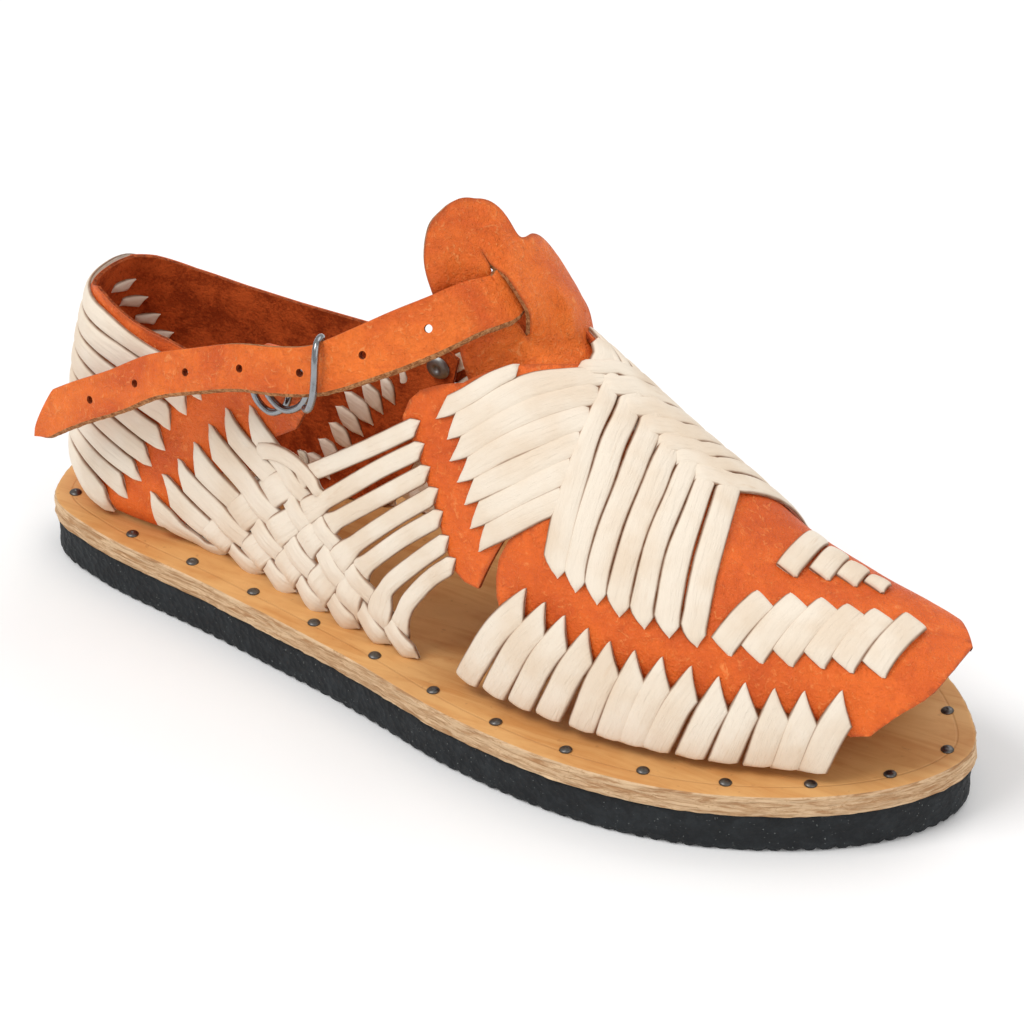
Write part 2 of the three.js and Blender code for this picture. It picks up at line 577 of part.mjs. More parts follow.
function ankleStrap() {
  const rows = [...STRAP_MEDIAL, ...strapUnderTab(), ...STRAP_LATERAL];
  const line = rows.map((row) => new THREE.Vector3(row.x, row.y, row.z));
  const centre = new THREE.CatmullRomCurve3(line, false, 'centripetal');
  const rings = [];
  const length = centre.getLength();
  const frameAt = (fraction) => {
    const t = centre.getUtoTmapping(fraction);
    const at = centre.getPoint(t);
    const run = centre.getTangent(t);
    const place = t * (rows.length - 1);
    const i = Math.min(Math.floor(place), rows.length - 2);
    const blend = (key) => THREE.MathUtils.lerp(rows[i][key], rows[i + 1][key], place - i);
    const wide = new THREE.Vector3(0, 0, 1).addScaledVector(run, -run.z).normalize();
    wide.applyAxisAngle(run, THREE.MathUtils.degToRad(blend('tilt')));
    const face = new THREE.Vector3().crossVectors(run, wide).normalize();
    return { at, wide, face, half: blend('width') / 2 };
  };
  for (let i = 0; i <= STRAP_STEPS; i += 1) {
    const { at, wide, face, half } = frameAt(i / STRAP_STEPS);
    const left = Math.min(1, (length * (1 - i / STRAP_STEPS)) / STRAP_TIP.length);
    const upHalf = half * (1 - STRAP_TIP.drop * (1 - left ** 0.7));
    const downHalf = half * Math.min(1, STRAP_TIP.low + left);
    const corner = (u, v) => (
      at.clone().addScaledVector(wide, u).addScaledVector(face, v * STRAP_THICK / 2)
    );
    rings.push([
      corner(upHalf, 1), corner(upHalf, -1), corner(-downHalf, -1), corner(-downHalf, 1),
    ]);
  }
  const holes = Array.from({ length: STRAP_HOLES.count }, (_, i) => {
    const { at, face } = frameAt((STRAP_HOLES.first + i * STRAP_HOLES.pitch) / length);
    const turn = new THREE.Quaternion().setFromUnitVectors(new THREE.Vector3(0, 1, 0), face);
    const punch = new THREE.CylinderGeometry(STRAP_HOLES.radius, STRAP_HOLES.radius, 10, 8);
    return toSolid(punch.applyQuaternion(turn).translate(at.x, at.y, at.z));
  });
  return cutAll(ringSolid(rings), [...holes, rivetHole()]);
}

// ---- rivet and buckle ----
function strapRivet() {
  const { shank, head, dome } = RIVET;
  const inside = -WALL - GAP;
  const outside = GAP + STRAP_THICK + GAP + 1.0;
  const profile = [
    [0, inside - dome], [head * 0.6, inside - dome], [head, inside - 0.3], [head, inside],
    [shank, inside], [shank, outside],
    [head, outside], [head, outside + 0.3], [head * 0.6, outside + dome], [0, outside + dome],
  ].map(([radius, at]) => new THREE.Vector2(radius, at));
  return toSolid(alongRivet(new THREE.LatheGeometry(profile, 16), 0));
}

const RING_BACK = { left: -63.4, right: -50.6, low: 77.5, y: -26, tilt: 0.05 };
const RING_FRONT = { left: -57.4, right: -43.6, low: 81.5, y: -28.4, tilt: 0.1 };
const RING_CORNER = 2.2;
const RING_TOP = 0.7;           // the top bar above the fold's centre

// An upright ring with a straight top bar, hanging in the fold.
function hangingRing({ left, right, low, y, tilt }) {
  const high = FOLD.z + RING_TOP;
  const middle = (left + right) / 2;
  const at = (x, z) => new THREE.Vector3(x, y - (high - z) * tilt, z);
  return wireLoop([
    at(left + RING_CORNER, high), at(middle, high), at(right - RING_CORNER, high),
    at(right, high - RING_CORNER), at(right, (high + low) / 2),
    at(right - RING_CORNER, low + RING_CORNER), at(middle, low), at(left + RING_CORNER, low + RING_CORNER),
    at(left, (high + low) / 2), at(left, high - RING_CORNER),
  ], true);
}

// The buckle's outer bar, hooked over the strap's upper edge and turned back under it.
const BAR_PATH = [
  { x: -39, y: -28.4, z: 105.6 },
  { x: -38.2, y: -29.4, z: 108.6 },
  { x: -37.2, y: -33, z: 108.8 },
  { x: -36.4, y: -35.6, z: 105.6 },
  { x: -36.4, y: -36.8, z: 99 },
  { x: -36.6, y: -38.2, z: 92.5 },
  { x: -37.8, y: -38, z: 89 },
  { x: -39.6, y: -35.8, z: 87.4 },
  { x: -41.4, y: -33.6, z: 87.2 },
];

const buckleBar = () => wireLoop(BAR_PATH.map(({ x, y, z }) => new THREE.Vector3(x, y, z)), false);

const sandal = new THREE.Group();
sandal.add(
  piece('outsole', outsole(), RUBBER_BLACK),
  piece('footbed', footbed(), BOARD_TAN),
  piece('upper', upper(), CREAM_THONG),
  piece('instep_tab', instepTab(), ORANGE_LEATHER),
  piece('ankle_strap', ankleStrap(), ORANGE_LEATHER),
  piece('strap_rivet', strapRivet(), BRIGHT_STEEL),
  piece('buckle_ring_back', hangingRing(RING_BACK), BRIGHT_STEEL),
  piece('buckle_ring_front', hangingRing(RING_FRONT), BRIGHT_STEEL),
  piece('buckle_bar', buckleBar(), BRIGHT_STEEL),
  ...nails(),
);
export default sandal;
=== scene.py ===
"""Looks of the huarache sandal: woven thongs, leather, board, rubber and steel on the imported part."""
import bisect
import logging
import math
from dataclasses import dataclass, field
from enum import Enum
from typing import Callable, Sequence

import bmesh
import bpy
from mathutils import Matrix, Quaternion, Vector, geometry, noise


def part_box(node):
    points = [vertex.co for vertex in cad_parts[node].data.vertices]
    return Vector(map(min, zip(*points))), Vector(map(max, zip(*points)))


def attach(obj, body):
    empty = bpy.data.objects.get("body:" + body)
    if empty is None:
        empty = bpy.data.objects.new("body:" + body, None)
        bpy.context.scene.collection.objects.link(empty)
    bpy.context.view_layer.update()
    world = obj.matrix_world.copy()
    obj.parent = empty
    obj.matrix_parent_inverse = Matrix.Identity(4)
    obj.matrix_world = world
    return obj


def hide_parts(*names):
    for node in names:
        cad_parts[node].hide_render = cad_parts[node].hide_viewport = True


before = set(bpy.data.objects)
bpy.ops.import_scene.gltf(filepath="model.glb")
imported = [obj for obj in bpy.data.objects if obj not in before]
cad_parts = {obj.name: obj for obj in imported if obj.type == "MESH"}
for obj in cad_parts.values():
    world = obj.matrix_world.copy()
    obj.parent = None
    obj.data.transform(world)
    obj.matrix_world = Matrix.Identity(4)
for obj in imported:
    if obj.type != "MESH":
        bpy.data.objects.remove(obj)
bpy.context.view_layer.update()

MM = 0.001                      # one millimetre in metres
LOG = logging.getLogger("sandal")
Row = Sequence[float]
Spot = tuple[float, float]


# ---------------------------------------------------------------- small sums
def clamp(value: float, low: float, high: float) -> float:
    """Keeps a value between two limits."""
    return max(low, min(high, value))


def ease(value: float, low: float, high: float) -> float:
    """Rises smoothly from 0 at low to 1 at high."""
    t = clamp((value - low) / (high - low), 0.0, 1.0)
    return t * t * (3 - 2 * t)


def mix(a: float, b: float, t: float) -> float:
    """The value a part t of the way from a to b."""
    return a + (b - a) * t


def halfway(a: Spot, b: Spot) -> Spot:
    """The place halfway between two places."""
    return (a[0] + b[0]) / 2, (a[1] + b[1]) / 2


def read_table(rows: Sequence[Spot], at: float) -> float:
    """Reads a table of places and values, straight between its rows.

    Args:
        rows: places in rising order, each with its value.
        at: the place to read.

    Returns:
        The value there, or the last one past the table's end.
    """
    for (x0, y0), (x1, y1) in zip(rows, rows[1:]):
        if at <= x1:
            return mix(y0, y1, (at - x0) / (x1 - x0))
    return rows[-1][1]


def hermite(a: "Vector | float", b: "Vector | float", way_a: "Vector | float", way_b: "Vector | float",
            t: float) -> "Vector | float":
    """A smooth step from a to b.

    Args:
        a: the start.
        b: the end.
        way_a: the slope at the start.
        way_b: the slope at the end.
        t: the part of the way, from 0 to 1.

    Returns:
        The value at t.
    """
    return (a * (2 * t**3 - 3 * t**2 + 1) + way_a * (t**3 - 2 * t**2 + t)
            + b * (3 * t**2 - 2 * t**3) + way_b * (t**3 - t**2))


def round_angles(count: int) -> list[float]:
    """Angles in even steps round a circle."""
    return [k * math.tau / count for k in range(count)]


def facing_up(height: Callable[[float, float], float], x: float, y: float) -> Vector:
    """The direction in which a sheet faces.

    Args:
        height: the sheet's height over a place.
        x: the place along the sandal.
        y: the place across it.

    Returns:
        An upward direction of length 1.
    """
    step = 0.3
    slope_x = (height(x + step, y) - height(x - step, y)) / (2 * step)
    slope_y = (height(x, y + step) - height(x, y - step)) / (2 * step)
    return Vector((-slope_x, -slope_y, 1)).normalized()


def smooth_rows(rows: Sequence[Row], step: float, closed: bool = False) -> list[tuple[float, ...]]:
    """Draws a smooth line through rows of numbers.

    Args:
        rows: the places that the line passes, each with the same count of numbers.
        step: the longest stretch between two places of the result.
        closed: whether the line joins its last place to its first.

    Returns:
        The places along the line.
    """
    count = len(rows)
    ends = count if closed else count - 1

    def row(i: int) -> Row:
        """The row with a number that may lie past either end."""
        return rows[i % count] if closed else rows[int(clamp(i, 0, count - 1))]

    out: list[tuple[float, ...]] = []
    for i in range(ends):
        before, start, end, after = row(i - 1), row(i), row(i + 1), row(i + 2)
        gaps = [max(math.dist(a, b), 1e-6) ** 0.5 for a, b in ((before, start), (start, end), (end, after))]
        steps = max(1, math.ceil(math.dist(start, end) / step))
        for n in range(steps):
            t = n / steps
            place = []
            for p0, p1, p2, p3 in zip(before, start, end, after):
                slope_in = slope_out = p2 - p1
                if closed or i:
                    slope_in += gaps[1] * ((p1 - p0) / gaps[0] - (p2 - p0) / (gaps[0] + gaps[1]))
                if closed or i < count - 2:
                    slope_out += gaps[1] * ((p3 - p2) / gaps[2] - (p3 - p1) / (gaps[1] + gaps[2]))
                cubic = 2 * (p1 - p2) + slope_in + slope_out
                square = -3 * (p1 - p2) - 2 * slope_in - slope_out
                place.append(((cubic * t + square) * t + slope_in) * t + p1)
            out.append(tuple(place))
    if not closed:
        out.append(tuple(rows[-1]))
    return out


def bend(start: Spot, way_in: Spot, end: Spot, way_out: Spot, count: int = 5) -> list[Spot]:
    """Places on a curve from one place and direction to another.

    Args:
        start: the first place, which isn't in the result.
        way_in: the direction at the start.
        end: the last place.
        way_out: the direction at the end.
        count: how many places to return.

    Returns:
        The places after the start.
    """
    reach = math.dist(start, end)
    d0 = Vector(way_in).normalized() * reach
    d1 = Vector(way_out).normalized() * reach
    p0, p1 = Vector(start), Vector(end)
    out = []
    for n in range(1, count + 1):
        p = hermite(p0, p1, d0, d1, n / count)
        out.append((p.x, p.y))
    return out


# ---------------------------------------------------------------- the last
@dataclass(frozen=True)
class Section:
    """One section of the last: its edges at the board, its ridge and how square its arch is."""

    x: float
    lateral: float
    medial: float
    ridge: float
    height: float
    power: float


@dataclass(frozen=True)
class Last:
    """The form that the upper is woven on, in millimetres.

    Its heel is rounded off behind heel_round, the collar leans in towards the top, and the foot of the
    heel is tucked in over the board. An inset surface is lower by inset_drop for each millimetre.
    """

    sections: tuple[Section, ...] = (
        Section(-98, -20.3, 28.5, 4, 150, 2.6),
        Section(-80, -20.8, 29.5, 5, 150, 2.6),
        Section(-60, -24.6, 31, 6, 148, 2.5),
        Section(-35, -32, 33, 8, 138, 2.5),
        Section(-8, -38, 32.8, 10, 122, 2.5),
        Section(10, -43, 32.5, 10, 111.5, 2.5),
        Section(30, -47, 33, 10, 99, 2.5),
        Section(50, -48.5, 33.5, 8, 86.3, 2.5),
        Section(70, -47.5, 32.8, 5, 76, 2.5),
        Section(90, -43.5, 31, 0, 66, 2.5),
        Section(110, -36.7, 27.2, -1.5, 60, 2.6),
        Section(125, -32, 24.6, -2, 57, 2.7),
        Section(140, -27.5, 23.6, -2, 51.5, 2.8),
        Section(152, -24, 23, -2, 46.5, 2.8),
    )
    board_top: float = 18.5
    heel_back: float = -142.6
    heel_power: float = 2.6
    heel_round: float = -98.0
    heel_girth: float = 58.0
    counter_height: float = 68.0
    collar_lean: float = 9.2
    tuck_height: float = 9.0
    tuck_depth: float = 4.4
    inset_drop: float = 1.15

    def crown(self, s: Section, inset: float) -> float:
        """Height of a section's ridge over the board."""
        return s.height - self.inset_drop * inset - self.board_top

    def girth(self, x: float) -> float:
        """Distance round the foot, from the back of the heel, of a place in front of its rounding."""
        return x - self.heel_round + self.heel_girth

    def section(self, x: float) -> Section:
        """Reads a section on a smooth curve through the table.

        Args:
            x: the place.

        Returns:
            The section, between the table's rows.
        """
        rows = self.sections
        at = clamp(x, rows[0].x, rows[-1].x)
        i = next(n for n in range(1, len(rows)) if at <= rows[n].x)
        r0, r1, r2, r3 = (rows[int(clamp(n, 0, len(rows) - 1))] for n in (i - 2, i - 1, i, i + 1))
        span = r2.x - r1.x
        t = (at - r1.x) / span

        def blend(key: str) -> float:
            """One of the section's numbers."""
            v0, v1, v2, v3 = (getattr(r, key) for r in (r0, r1, r2, r3))
            return hermite(v1, v2, (v2 - v0) / (r2.x - r0.x) * span, (v3 - v1) / (r3.x - r1.x) * span, t)

        return Section(at, *(blend(k) for k in ("lateral", "medial", "ridge", "height", "power")))

    def point(self, x: float, turn: float, inset: float = 0.0) -> Vector:
        """A point of the last.

        Args:
            x: the place along the last.
            turn: the angle round its section, from 0 at the lateral edge to pi at the medial.
            inset: how far inside the last.

        Returns:
            The point, in millimetres.
        """
        s = self.section(x)
        rise = max(0.0, math.sin(turn)) ** (2 / s.power)
        z = self.board_top + self.crown(s, inset) * rise
        back = self.heel_back + inset
        inward = clamp((self.heel_round - x) / (self.heel_round - back), 0, 1)
        round_off = max(0.0, 1 - inward**self.heel_power) ** (1 / self.heel_power)
        side = math.cos(turn)
        low = 1 - clamp((z - self.board_top) / self.tuck_height, 0, 1)
        tuck = self.tuck_depth * low**2 * ease(-x, 55, 100)
        half = (s.ridge - s.lateral if side >= 0 else s.medial - s.ridge) - inset - tuck
        y = s.ridge - math.copysign(half * round_off * abs(side) ** (2 / s.power), side)
        up = clamp((z - self.board_top) / self.counter_height, 0, 1.2)
        return Vector((x + (self.collar_lean * up**2.6 + tuck) * inward**1.5, y, z))

    def side_point(self, girth: float, z: float, inset: float = 0.0) -> Vector:
        """A point of the last's side.

        Args:
            girth: distance round the foot from the back of the heel, medial where it is negative.
            z: height.
            inset: how far inside the last.

        Returns:
            The point, in millimetres.
        """
        run = abs(girth)
        x = self.heel_round + run - self.heel_girth
        if run < self.heel_girth:
            inward = math.cos(run / self.heel_girth * math.pi / 2) ** (2 / self.heel_power)
            x = self.heel_round - inward * (self.heel_round - self.heel_back - inset)
        s = self.section(x)
        rise = clamp((z - self.board_top) / self.crown(s, inset), 1e-6, 1)
        turn = math.asin(rise ** (s.power / 2))
        return self.point(x, turn if girth >= 0 else math.pi - turn, inset)


LAST = Last()


class Way(Enum):
    """How a place on the last is named."""

    GIRTH = "girth round the foot and height"
    TURN = "place along the last and degrees of turn"


@dataclass(frozen=True)
class Chart:
    """A surface that work is laid out on: the last, drawn in or looked at from inside."""

    way: Way = Way.GIRTH
    inset: float = 0.0
    inside: bool = False
    mirrored: bool = False

    def place(self, u: float, v: float) -> Vector:
        """The surface at two chart numbers.

        Args:
            u: the first chart number.
            v: the second chart number.

        Returns:
            The point, in millimetres.
        """
        if self.way is Way.GIRTH:
            return LAST.side_point(-u if self.mirrored else u, v, self.inset)
        turn = math.radians(180 - v if self.mirrored else v)
        return LAST.point(u, clamp(turn, 0, math.pi), self.inset)

    def normal(self, u: float, v: float) -> Vector:
        """The direction in which work at two chart numbers faces.

        Args:
            u: the first chart number.
            v: the second chart number.

        Returns:
            A direction of length 1, outwards or, on an inside chart, inwards.
        """
        step = 0.5
        p = self.place(u, v)
        across = self.place(u + step, v) - self.place(u - step, v)
        up = self.place(u, v + step) - self.place(u, max(v - step, 0.01))
        n = across.cross(up).normalized()
        s = LAST.section(p.x)
        heart = Vector((max(p.x, LAST.heel_round), s.ridge, mix(LAST.board_top, p.z, 0.5)))
        n = n if n.dot(p - heart) > 0 else -n
        return -n if self.inside else n


SIDE = Chart()
TOP = Chart(Way.TURN)


@dataclass
class Run:
    """A centre line in space with the direction that its face looks."""

    points: list[Vector]
    normals: list[Vector]
    places: list[float] = field(default_factory=list)

    def __post_init__(self) -> None:
        """Measures the distance of each point from the start."""
        self.places = [0.0]
        for a, b in zip(self.points, self.points[1:]):
            self.places.append(self.places[-1] + (b - a).length)

    @property
    def length(self) -> float:
        """The whole length."""
        return self.places[-1]

    @classmethod
    def along(cls, chart: Chart, line: Sequence[Spot]) -> "Run":
        """A run through places on a chart, straight from each to the next."""
        return cls([chart.place(u, v) for u, v in line], [chart.normal(u, v) for u, v in line])

    @classmethod
    def on(cls, chart: Chart, rows: Sequence[Row], step: float = 1.0) -> "Run":
        """A smooth run through places on a chart."""
        return cls.along(chart, smooth_rows([r[:2] for r in rows], step))

    def at(self, distance: float) -> tuple[Vector, Vector, Vector]:
        """Reads the run at a distance from its start.

        Args:
            distance: how far along the run.

        Returns:
            The point, the direction that the face looks, and the direction of the run.
        """
        d = clamp(distance, 0, self.length)
        i = 0
        while i < len(self.places) - 2 and self.places[i + 1] < d:
            i += 1
        t = (d - self.places[i]) / max(self.places[i + 1] - self.places[i], 1e-9)
        a, b = self.points[i], self.points[i + 1]
        before = self.points[max(i - 1, 0)]
        after = self.points[min(i + 2, len(self.points) - 1)]
        way = (b - before).normalized().lerp((after - a).normalized(), t).normalized()
        face = self.normals[i].lerp(self.normals[i + 1], t)
        face = (face - way * face.dot(way)).normalized()
        return a.lerp(b, t), face, way


# ---------------------------------------------------------------- gathering a piece
class Draft:
    """The points and faces of one piece, in millimetres, gathered part by part."""

    def __init__(self) -> None:
        """Starts an empty piece."""
        self.points: list[Vector] = []
        self.faces: list[tuple[int, ...]] = []
        self.coats: list[int] = []
        self.lay: list[Spot] = []
        self.rim_nearness: list[float] = []

    def add(self, point: Vector, lay: Spot = (0.0, 0.0), rim_nearness: float = 0.0) -> int:
        """Adds a point.

        Args:
            point: where it is, in millimetres.
            lay: its place on the hide.
            rim_nearness: how near a cut edge it is, from 0 to 1.

        Returns:
            The point's number.
        """
        self.points.append(point)
        self.lay.append(lay)
        self.rim_nearness.append(rim_nearness)
        return len(self.points) - 1

    def face(self, corners: Sequence[int], coat: int = 0) -> None:
        """Adds a face in one of the piece's finishes."""
        self.faces.append(tuple(corners))
        self.coats.append(coat)

    def tube(self, rings: Sequence[Sequence[int]], closed: bool = False,
             coat: Callable[[int], int] = lambda j: 0) -> None:
        """Joins rings of points of equal count into a closed skin.

        Args:
            rings: the numbers of each ring's points.
            closed: whether the last ring joins the first.
            coat: the finish of the faces beside each place of a ring.
        """
        count = len(rings[0])
        pairs = list(zip(rings, rings[1:])) + ([(rings[-1], rings[0])] if closed else [])
        for a, b in pairs:
            for j in range(count):
                k = (j + 1) % count
                self.face((a[j], a[k], b[k], b[j]), coat(j))
        if not closed:
            self.face(tuple(reversed(rings[0])), coat(count - 1))
            self.face(tuple(rings[-1]), coat(count - 1))

    def build(self, name: str, finishes: Sequence[bpy.types.Material],
              sharp: float = 50.0) -> bpy.types.Object:
        """Makes the piece's object, in metres, with outward faces.

        Args:
            name: the piece's name.
            finishes: its materials, in the order of the coats.
            sharp: the angle in degrees over which an edge stays sharp.

        Returns:
            The new object.
        """
        mesh = bpy.data.meshes.new(name)
        mesh.from_pydata([p * MM for p in self.points], [], self.faces)
        for finish in finishes:
            mesh.materials.append(finish)
        mesh.polygons.foreach_set("material_index", self.coats)
        lay = mesh.uv_layers.new(name="Lay")
        spots = [c * MM for loop in mesh.loops for c in self.lay[loop.vertex_index]]
        lay.data.foreach_set("uv", spots)
        mesh.attributes.new("rim_nearness", "FLOAT", "POINT").data.foreach_set("value", self.rim_nearness)
        skin = bmesh.new()
        skin.from_mesh(mesh)
        bmesh.ops.recalc_face_normals(skin, faces=skin.faces)
        skin.to_mesh(mesh)
        skin.free()
        piece = bpy.data.objects.new(name, mesh)
        bpy.context.scene.collection.objects.link(piece)
        choose(piece)
        bpy.ops.object.shade_smooth_by_angle(angle=math.radians(sharp))
        return piece


def choose(*pieces: bpy.types.Object) -> None:
    """Selects some objects and nothing else, and makes the first one active."""
    bpy.ops.object.select_all(action="DESELECT")
    for piece in pieces:
        piece.select_set(True)
    if pieces:
        bpy.context.view_layer.objects.active = pieces[0]


def settle(piece: bpy.types.Object, slot: str, *nodes: str) -> None:
    """Fixes a finished piece to the sandal.

    Args:
        piece: the piece.
        slot: not used.
        nodes: the solids that it stands for.
    """
    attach(piece, "root")
    if nodes:
        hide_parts(*nodes)
    LOG.info("%s: %d faces", piece.name, len(piece.data.polygons))


# ---------------------------------------------------------------- thongs
@dataclass(frozen=True)
class Tip:
    """How a thong ends.

    left and right are how far its edges stop short of the point, at is where across the thong the point
    is, from -1 at the right to 1 at the left, and dip is how far the end goes down over its last stretch.
    """

    left: float = 0.0
    right: float = 0.0
    at: float = 0.0
    dip: float = 0.0
    over: float = 3.0

    def turned(self, other_way: bool) -> "Tip":
        """The same tip for the other foot side."""
        return Tip(self.right, self.left, -self.at, self.dip, self.over) if other_way else self

    def span(self, left_over: float) -> Spot:
        """How far the tip reaches across.

        Args:
            left_over: the distance from the tip's point.

        Returns:
            The right and the left edge of the thong there, from -1 to 1.
        """
        low = self.at - (1 + self.at) * (min(1.0, left_over / self.right) if self.right else 1.0)
        high = self.at + (1 - self.at) * (min(1.0, left_over / self.left) if self.left else 1.0)
        return low, high

    def drop(self, left_over: float) -> float:
        """How far the thong has gone down at a distance from its end."""
        return self.dip * (1 - ease(left_over, 0, self.over))


class Lot(Enum):
    """A family of thongs, by the number of its first thong, which sets the grain of each."""

    WRAPS = 1
    INSIDE_ENDS = 40
    SIDE_WEAVE = 70
    TOP_STRIP = 95
    INSTEP = 120
    FAN = 160
    THROAT = 199
    LACING = 210
    FRINGE = 250

    def number(self, k: int, mirrored: bool = False) -> int:
        """The number of one thong of the family."""
        return self.value + k + 20 * mirrored


CUT = Tip()
LEVEL = -0.9                    # height of a thong's back over the last's surface, where it lies on leather


@dataclass
class Thong:
    """A flat strip of hide with a slightly domed face and rounded edges."""

    run: Run
    width: float | Callable[[float], float]
    start: Tip = CUT
    end: Tip = CUT
    thick: float = 1.7
    lift: Callable[[float], float] = lambda d: LEVEL
    number: int = 0

    TOP_STEPS = (1.0, 0.93, 0.78, 0.5, 0.2, -0.2, -0.5, -0.78, -0.93, -1.0)
    BACK_STEPS = (-0.86, 0.0, 0.86)
    NEAR_END = (0.02, 0.35, 0.8, 1.4, 2.2, 3.2)
    FIRST_WHOLE = 4.4               # distance from an end at which the even spacing starts
    LEAST = 0.04                    # part of the width that a point keeps
    SEED_STEP = (7.31, 3.17)        # from one thong's unevenness to the next one's
    HIDE_STEP = (61.7, 17.3)        # from where one thong is cut out of the hide to the next
    HIDE_BACK = 9                   # from a thong's face to its back on the hide

    def stations(self) -> list[float]:
        """Finds where along the thong it has a ring of points.

        Returns:
            Distances from its start, in order.
        """
        total = self.run.length
        count = max(2, math.ceil((total - 8) / 1.7))
        middle = [total / 2]
        if total > 10:
            middle = [mix(self.FIRST_WHOLE, total - self.FIRST_WHOLE, n / count) for n in range(count + 1)]
        near = [d for d in self.NEAR_END if d < total / 2 - 0.4]
        return sorted([*near, *middle, *(total - d for d in near)])

    def lay(self, draft: Draft) -> None:
        """Adds the thong to a piece.

        Args:
            draft: the piece.
        """
        total = self.run.length
        seed = Vector((self.number * self.SEED_STEP[0], self.number * self.SEED_STEP[1], 0.5))
        rings = []
        for d in self.stations():
            p, face, way = self.run.at(d)
            left = face.cross(way)
            low_a, high_a = self.start.span(d)
            low_b, high_b = self.end.span(total - d)
            # both tips' sides are named as seen along the thong from its start
            low, high = max(low_a, low_b), min(high_a, high_b)
            if high - low < self.LEAST:
                middle = (low + high) / 2
                low, high = middle - self.LEAST / 2, middle + self.LEAST / 2
            width = self.width(d) if callable(self.width) else self.width
            width *= 1 + 0.05 * noise.noise(seed + Vector((d * 0.06, 0, 0)))
            sway = 0.22 * noise.noise(seed + Vector((0, d * 0.05, 4)))
            roll = 0.05 * noise.noise(seed + Vector((3, d * 0.08, 0)))
            height = self.lift(d) - self.start.drop(d) - self.end.drop(total - d)
            slim = 1 - 0.35 * (1 - min(1.0, (high - low) / 1.2))
            along, beside = d + self.number * self.HIDE_STEP[0], self.number * self.HIDE_STEP[1]
            ring = []
            for n, q in enumerate((*self.TOP_STEPS, *self.BACK_STEPS)):
                across = ((high + low) / 2 + (high - low) / 2 * q) * width / 2 + sway
                if n < len(self.TOP_STEPS):
                    dome = 1 - 0.15 * q * q - 0.53 * abs(q) ** 7
                    up = height + self.thick * slim * dome + roll * across
                    lay, rim_nearness = (along, across + beside), abs(q)
                else:
                    up = height + roll * across
                    lay, rim_nearness = (along, across + beside + self.HIDE_BACK), 0.6
                ring.append(draft.add(p + left * across + face * up, lay, rim_nearness))
            rings.append(ring)
        draft.tube(rings)


def knots(heights: Sequence[Spot]) -> Callable[[float], float]:
    """Makes a height that changes smoothly along a thong.

    Args:
        heights: places along it, each with its height.

    Returns:
        The height by the distance along the thong.
    """
    marks = sorted(heights)

    def lift(d: float) -> float:
        """The height at a distance.

        Args:
            d: the distance.

        Returns:
            The height between the marks beside it.
        """
        if d <= marks[0][0]:
            return marks[0][1]
        for (d0, h0), (d1, h1) in zip(marks, marks[1:]):
            if d <= d1:
                return mix(h0, h1, ease(d, d0, d1))
        return marks[-1][1]

    return lift


def crossing(a: Sequence[Spot], b: Sequence[Spot]) -> tuple[float, float] | None:
    """Finds where two lines on a chart cross.

    Args:
        a: the places along one line.
        b: the places along the other.

    Returns:
        The crossing as a whole and part number of steps along each line, or None.
    """
    for i, (p, q) in enumerate(zip(a, a[1:])):
        for j, (r, s) in enumerate(zip(b, b[1:])):
            if max(p[0], q[0]) < min(r[0], s[0]) or min(p[0], q[0]) > max(r[0], s[0]):
                continue
            hit = geometry.intersect_line_line_2d(p, q, r, s)
            if hit is not None:
                t = (hit - Vector(p)).length / max(math.dist(p, q), 1e-9)
                u = (hit - Vector(r)).length / max(math.dist(r, s), 1e-9)
                return i + t, j + u
    return None


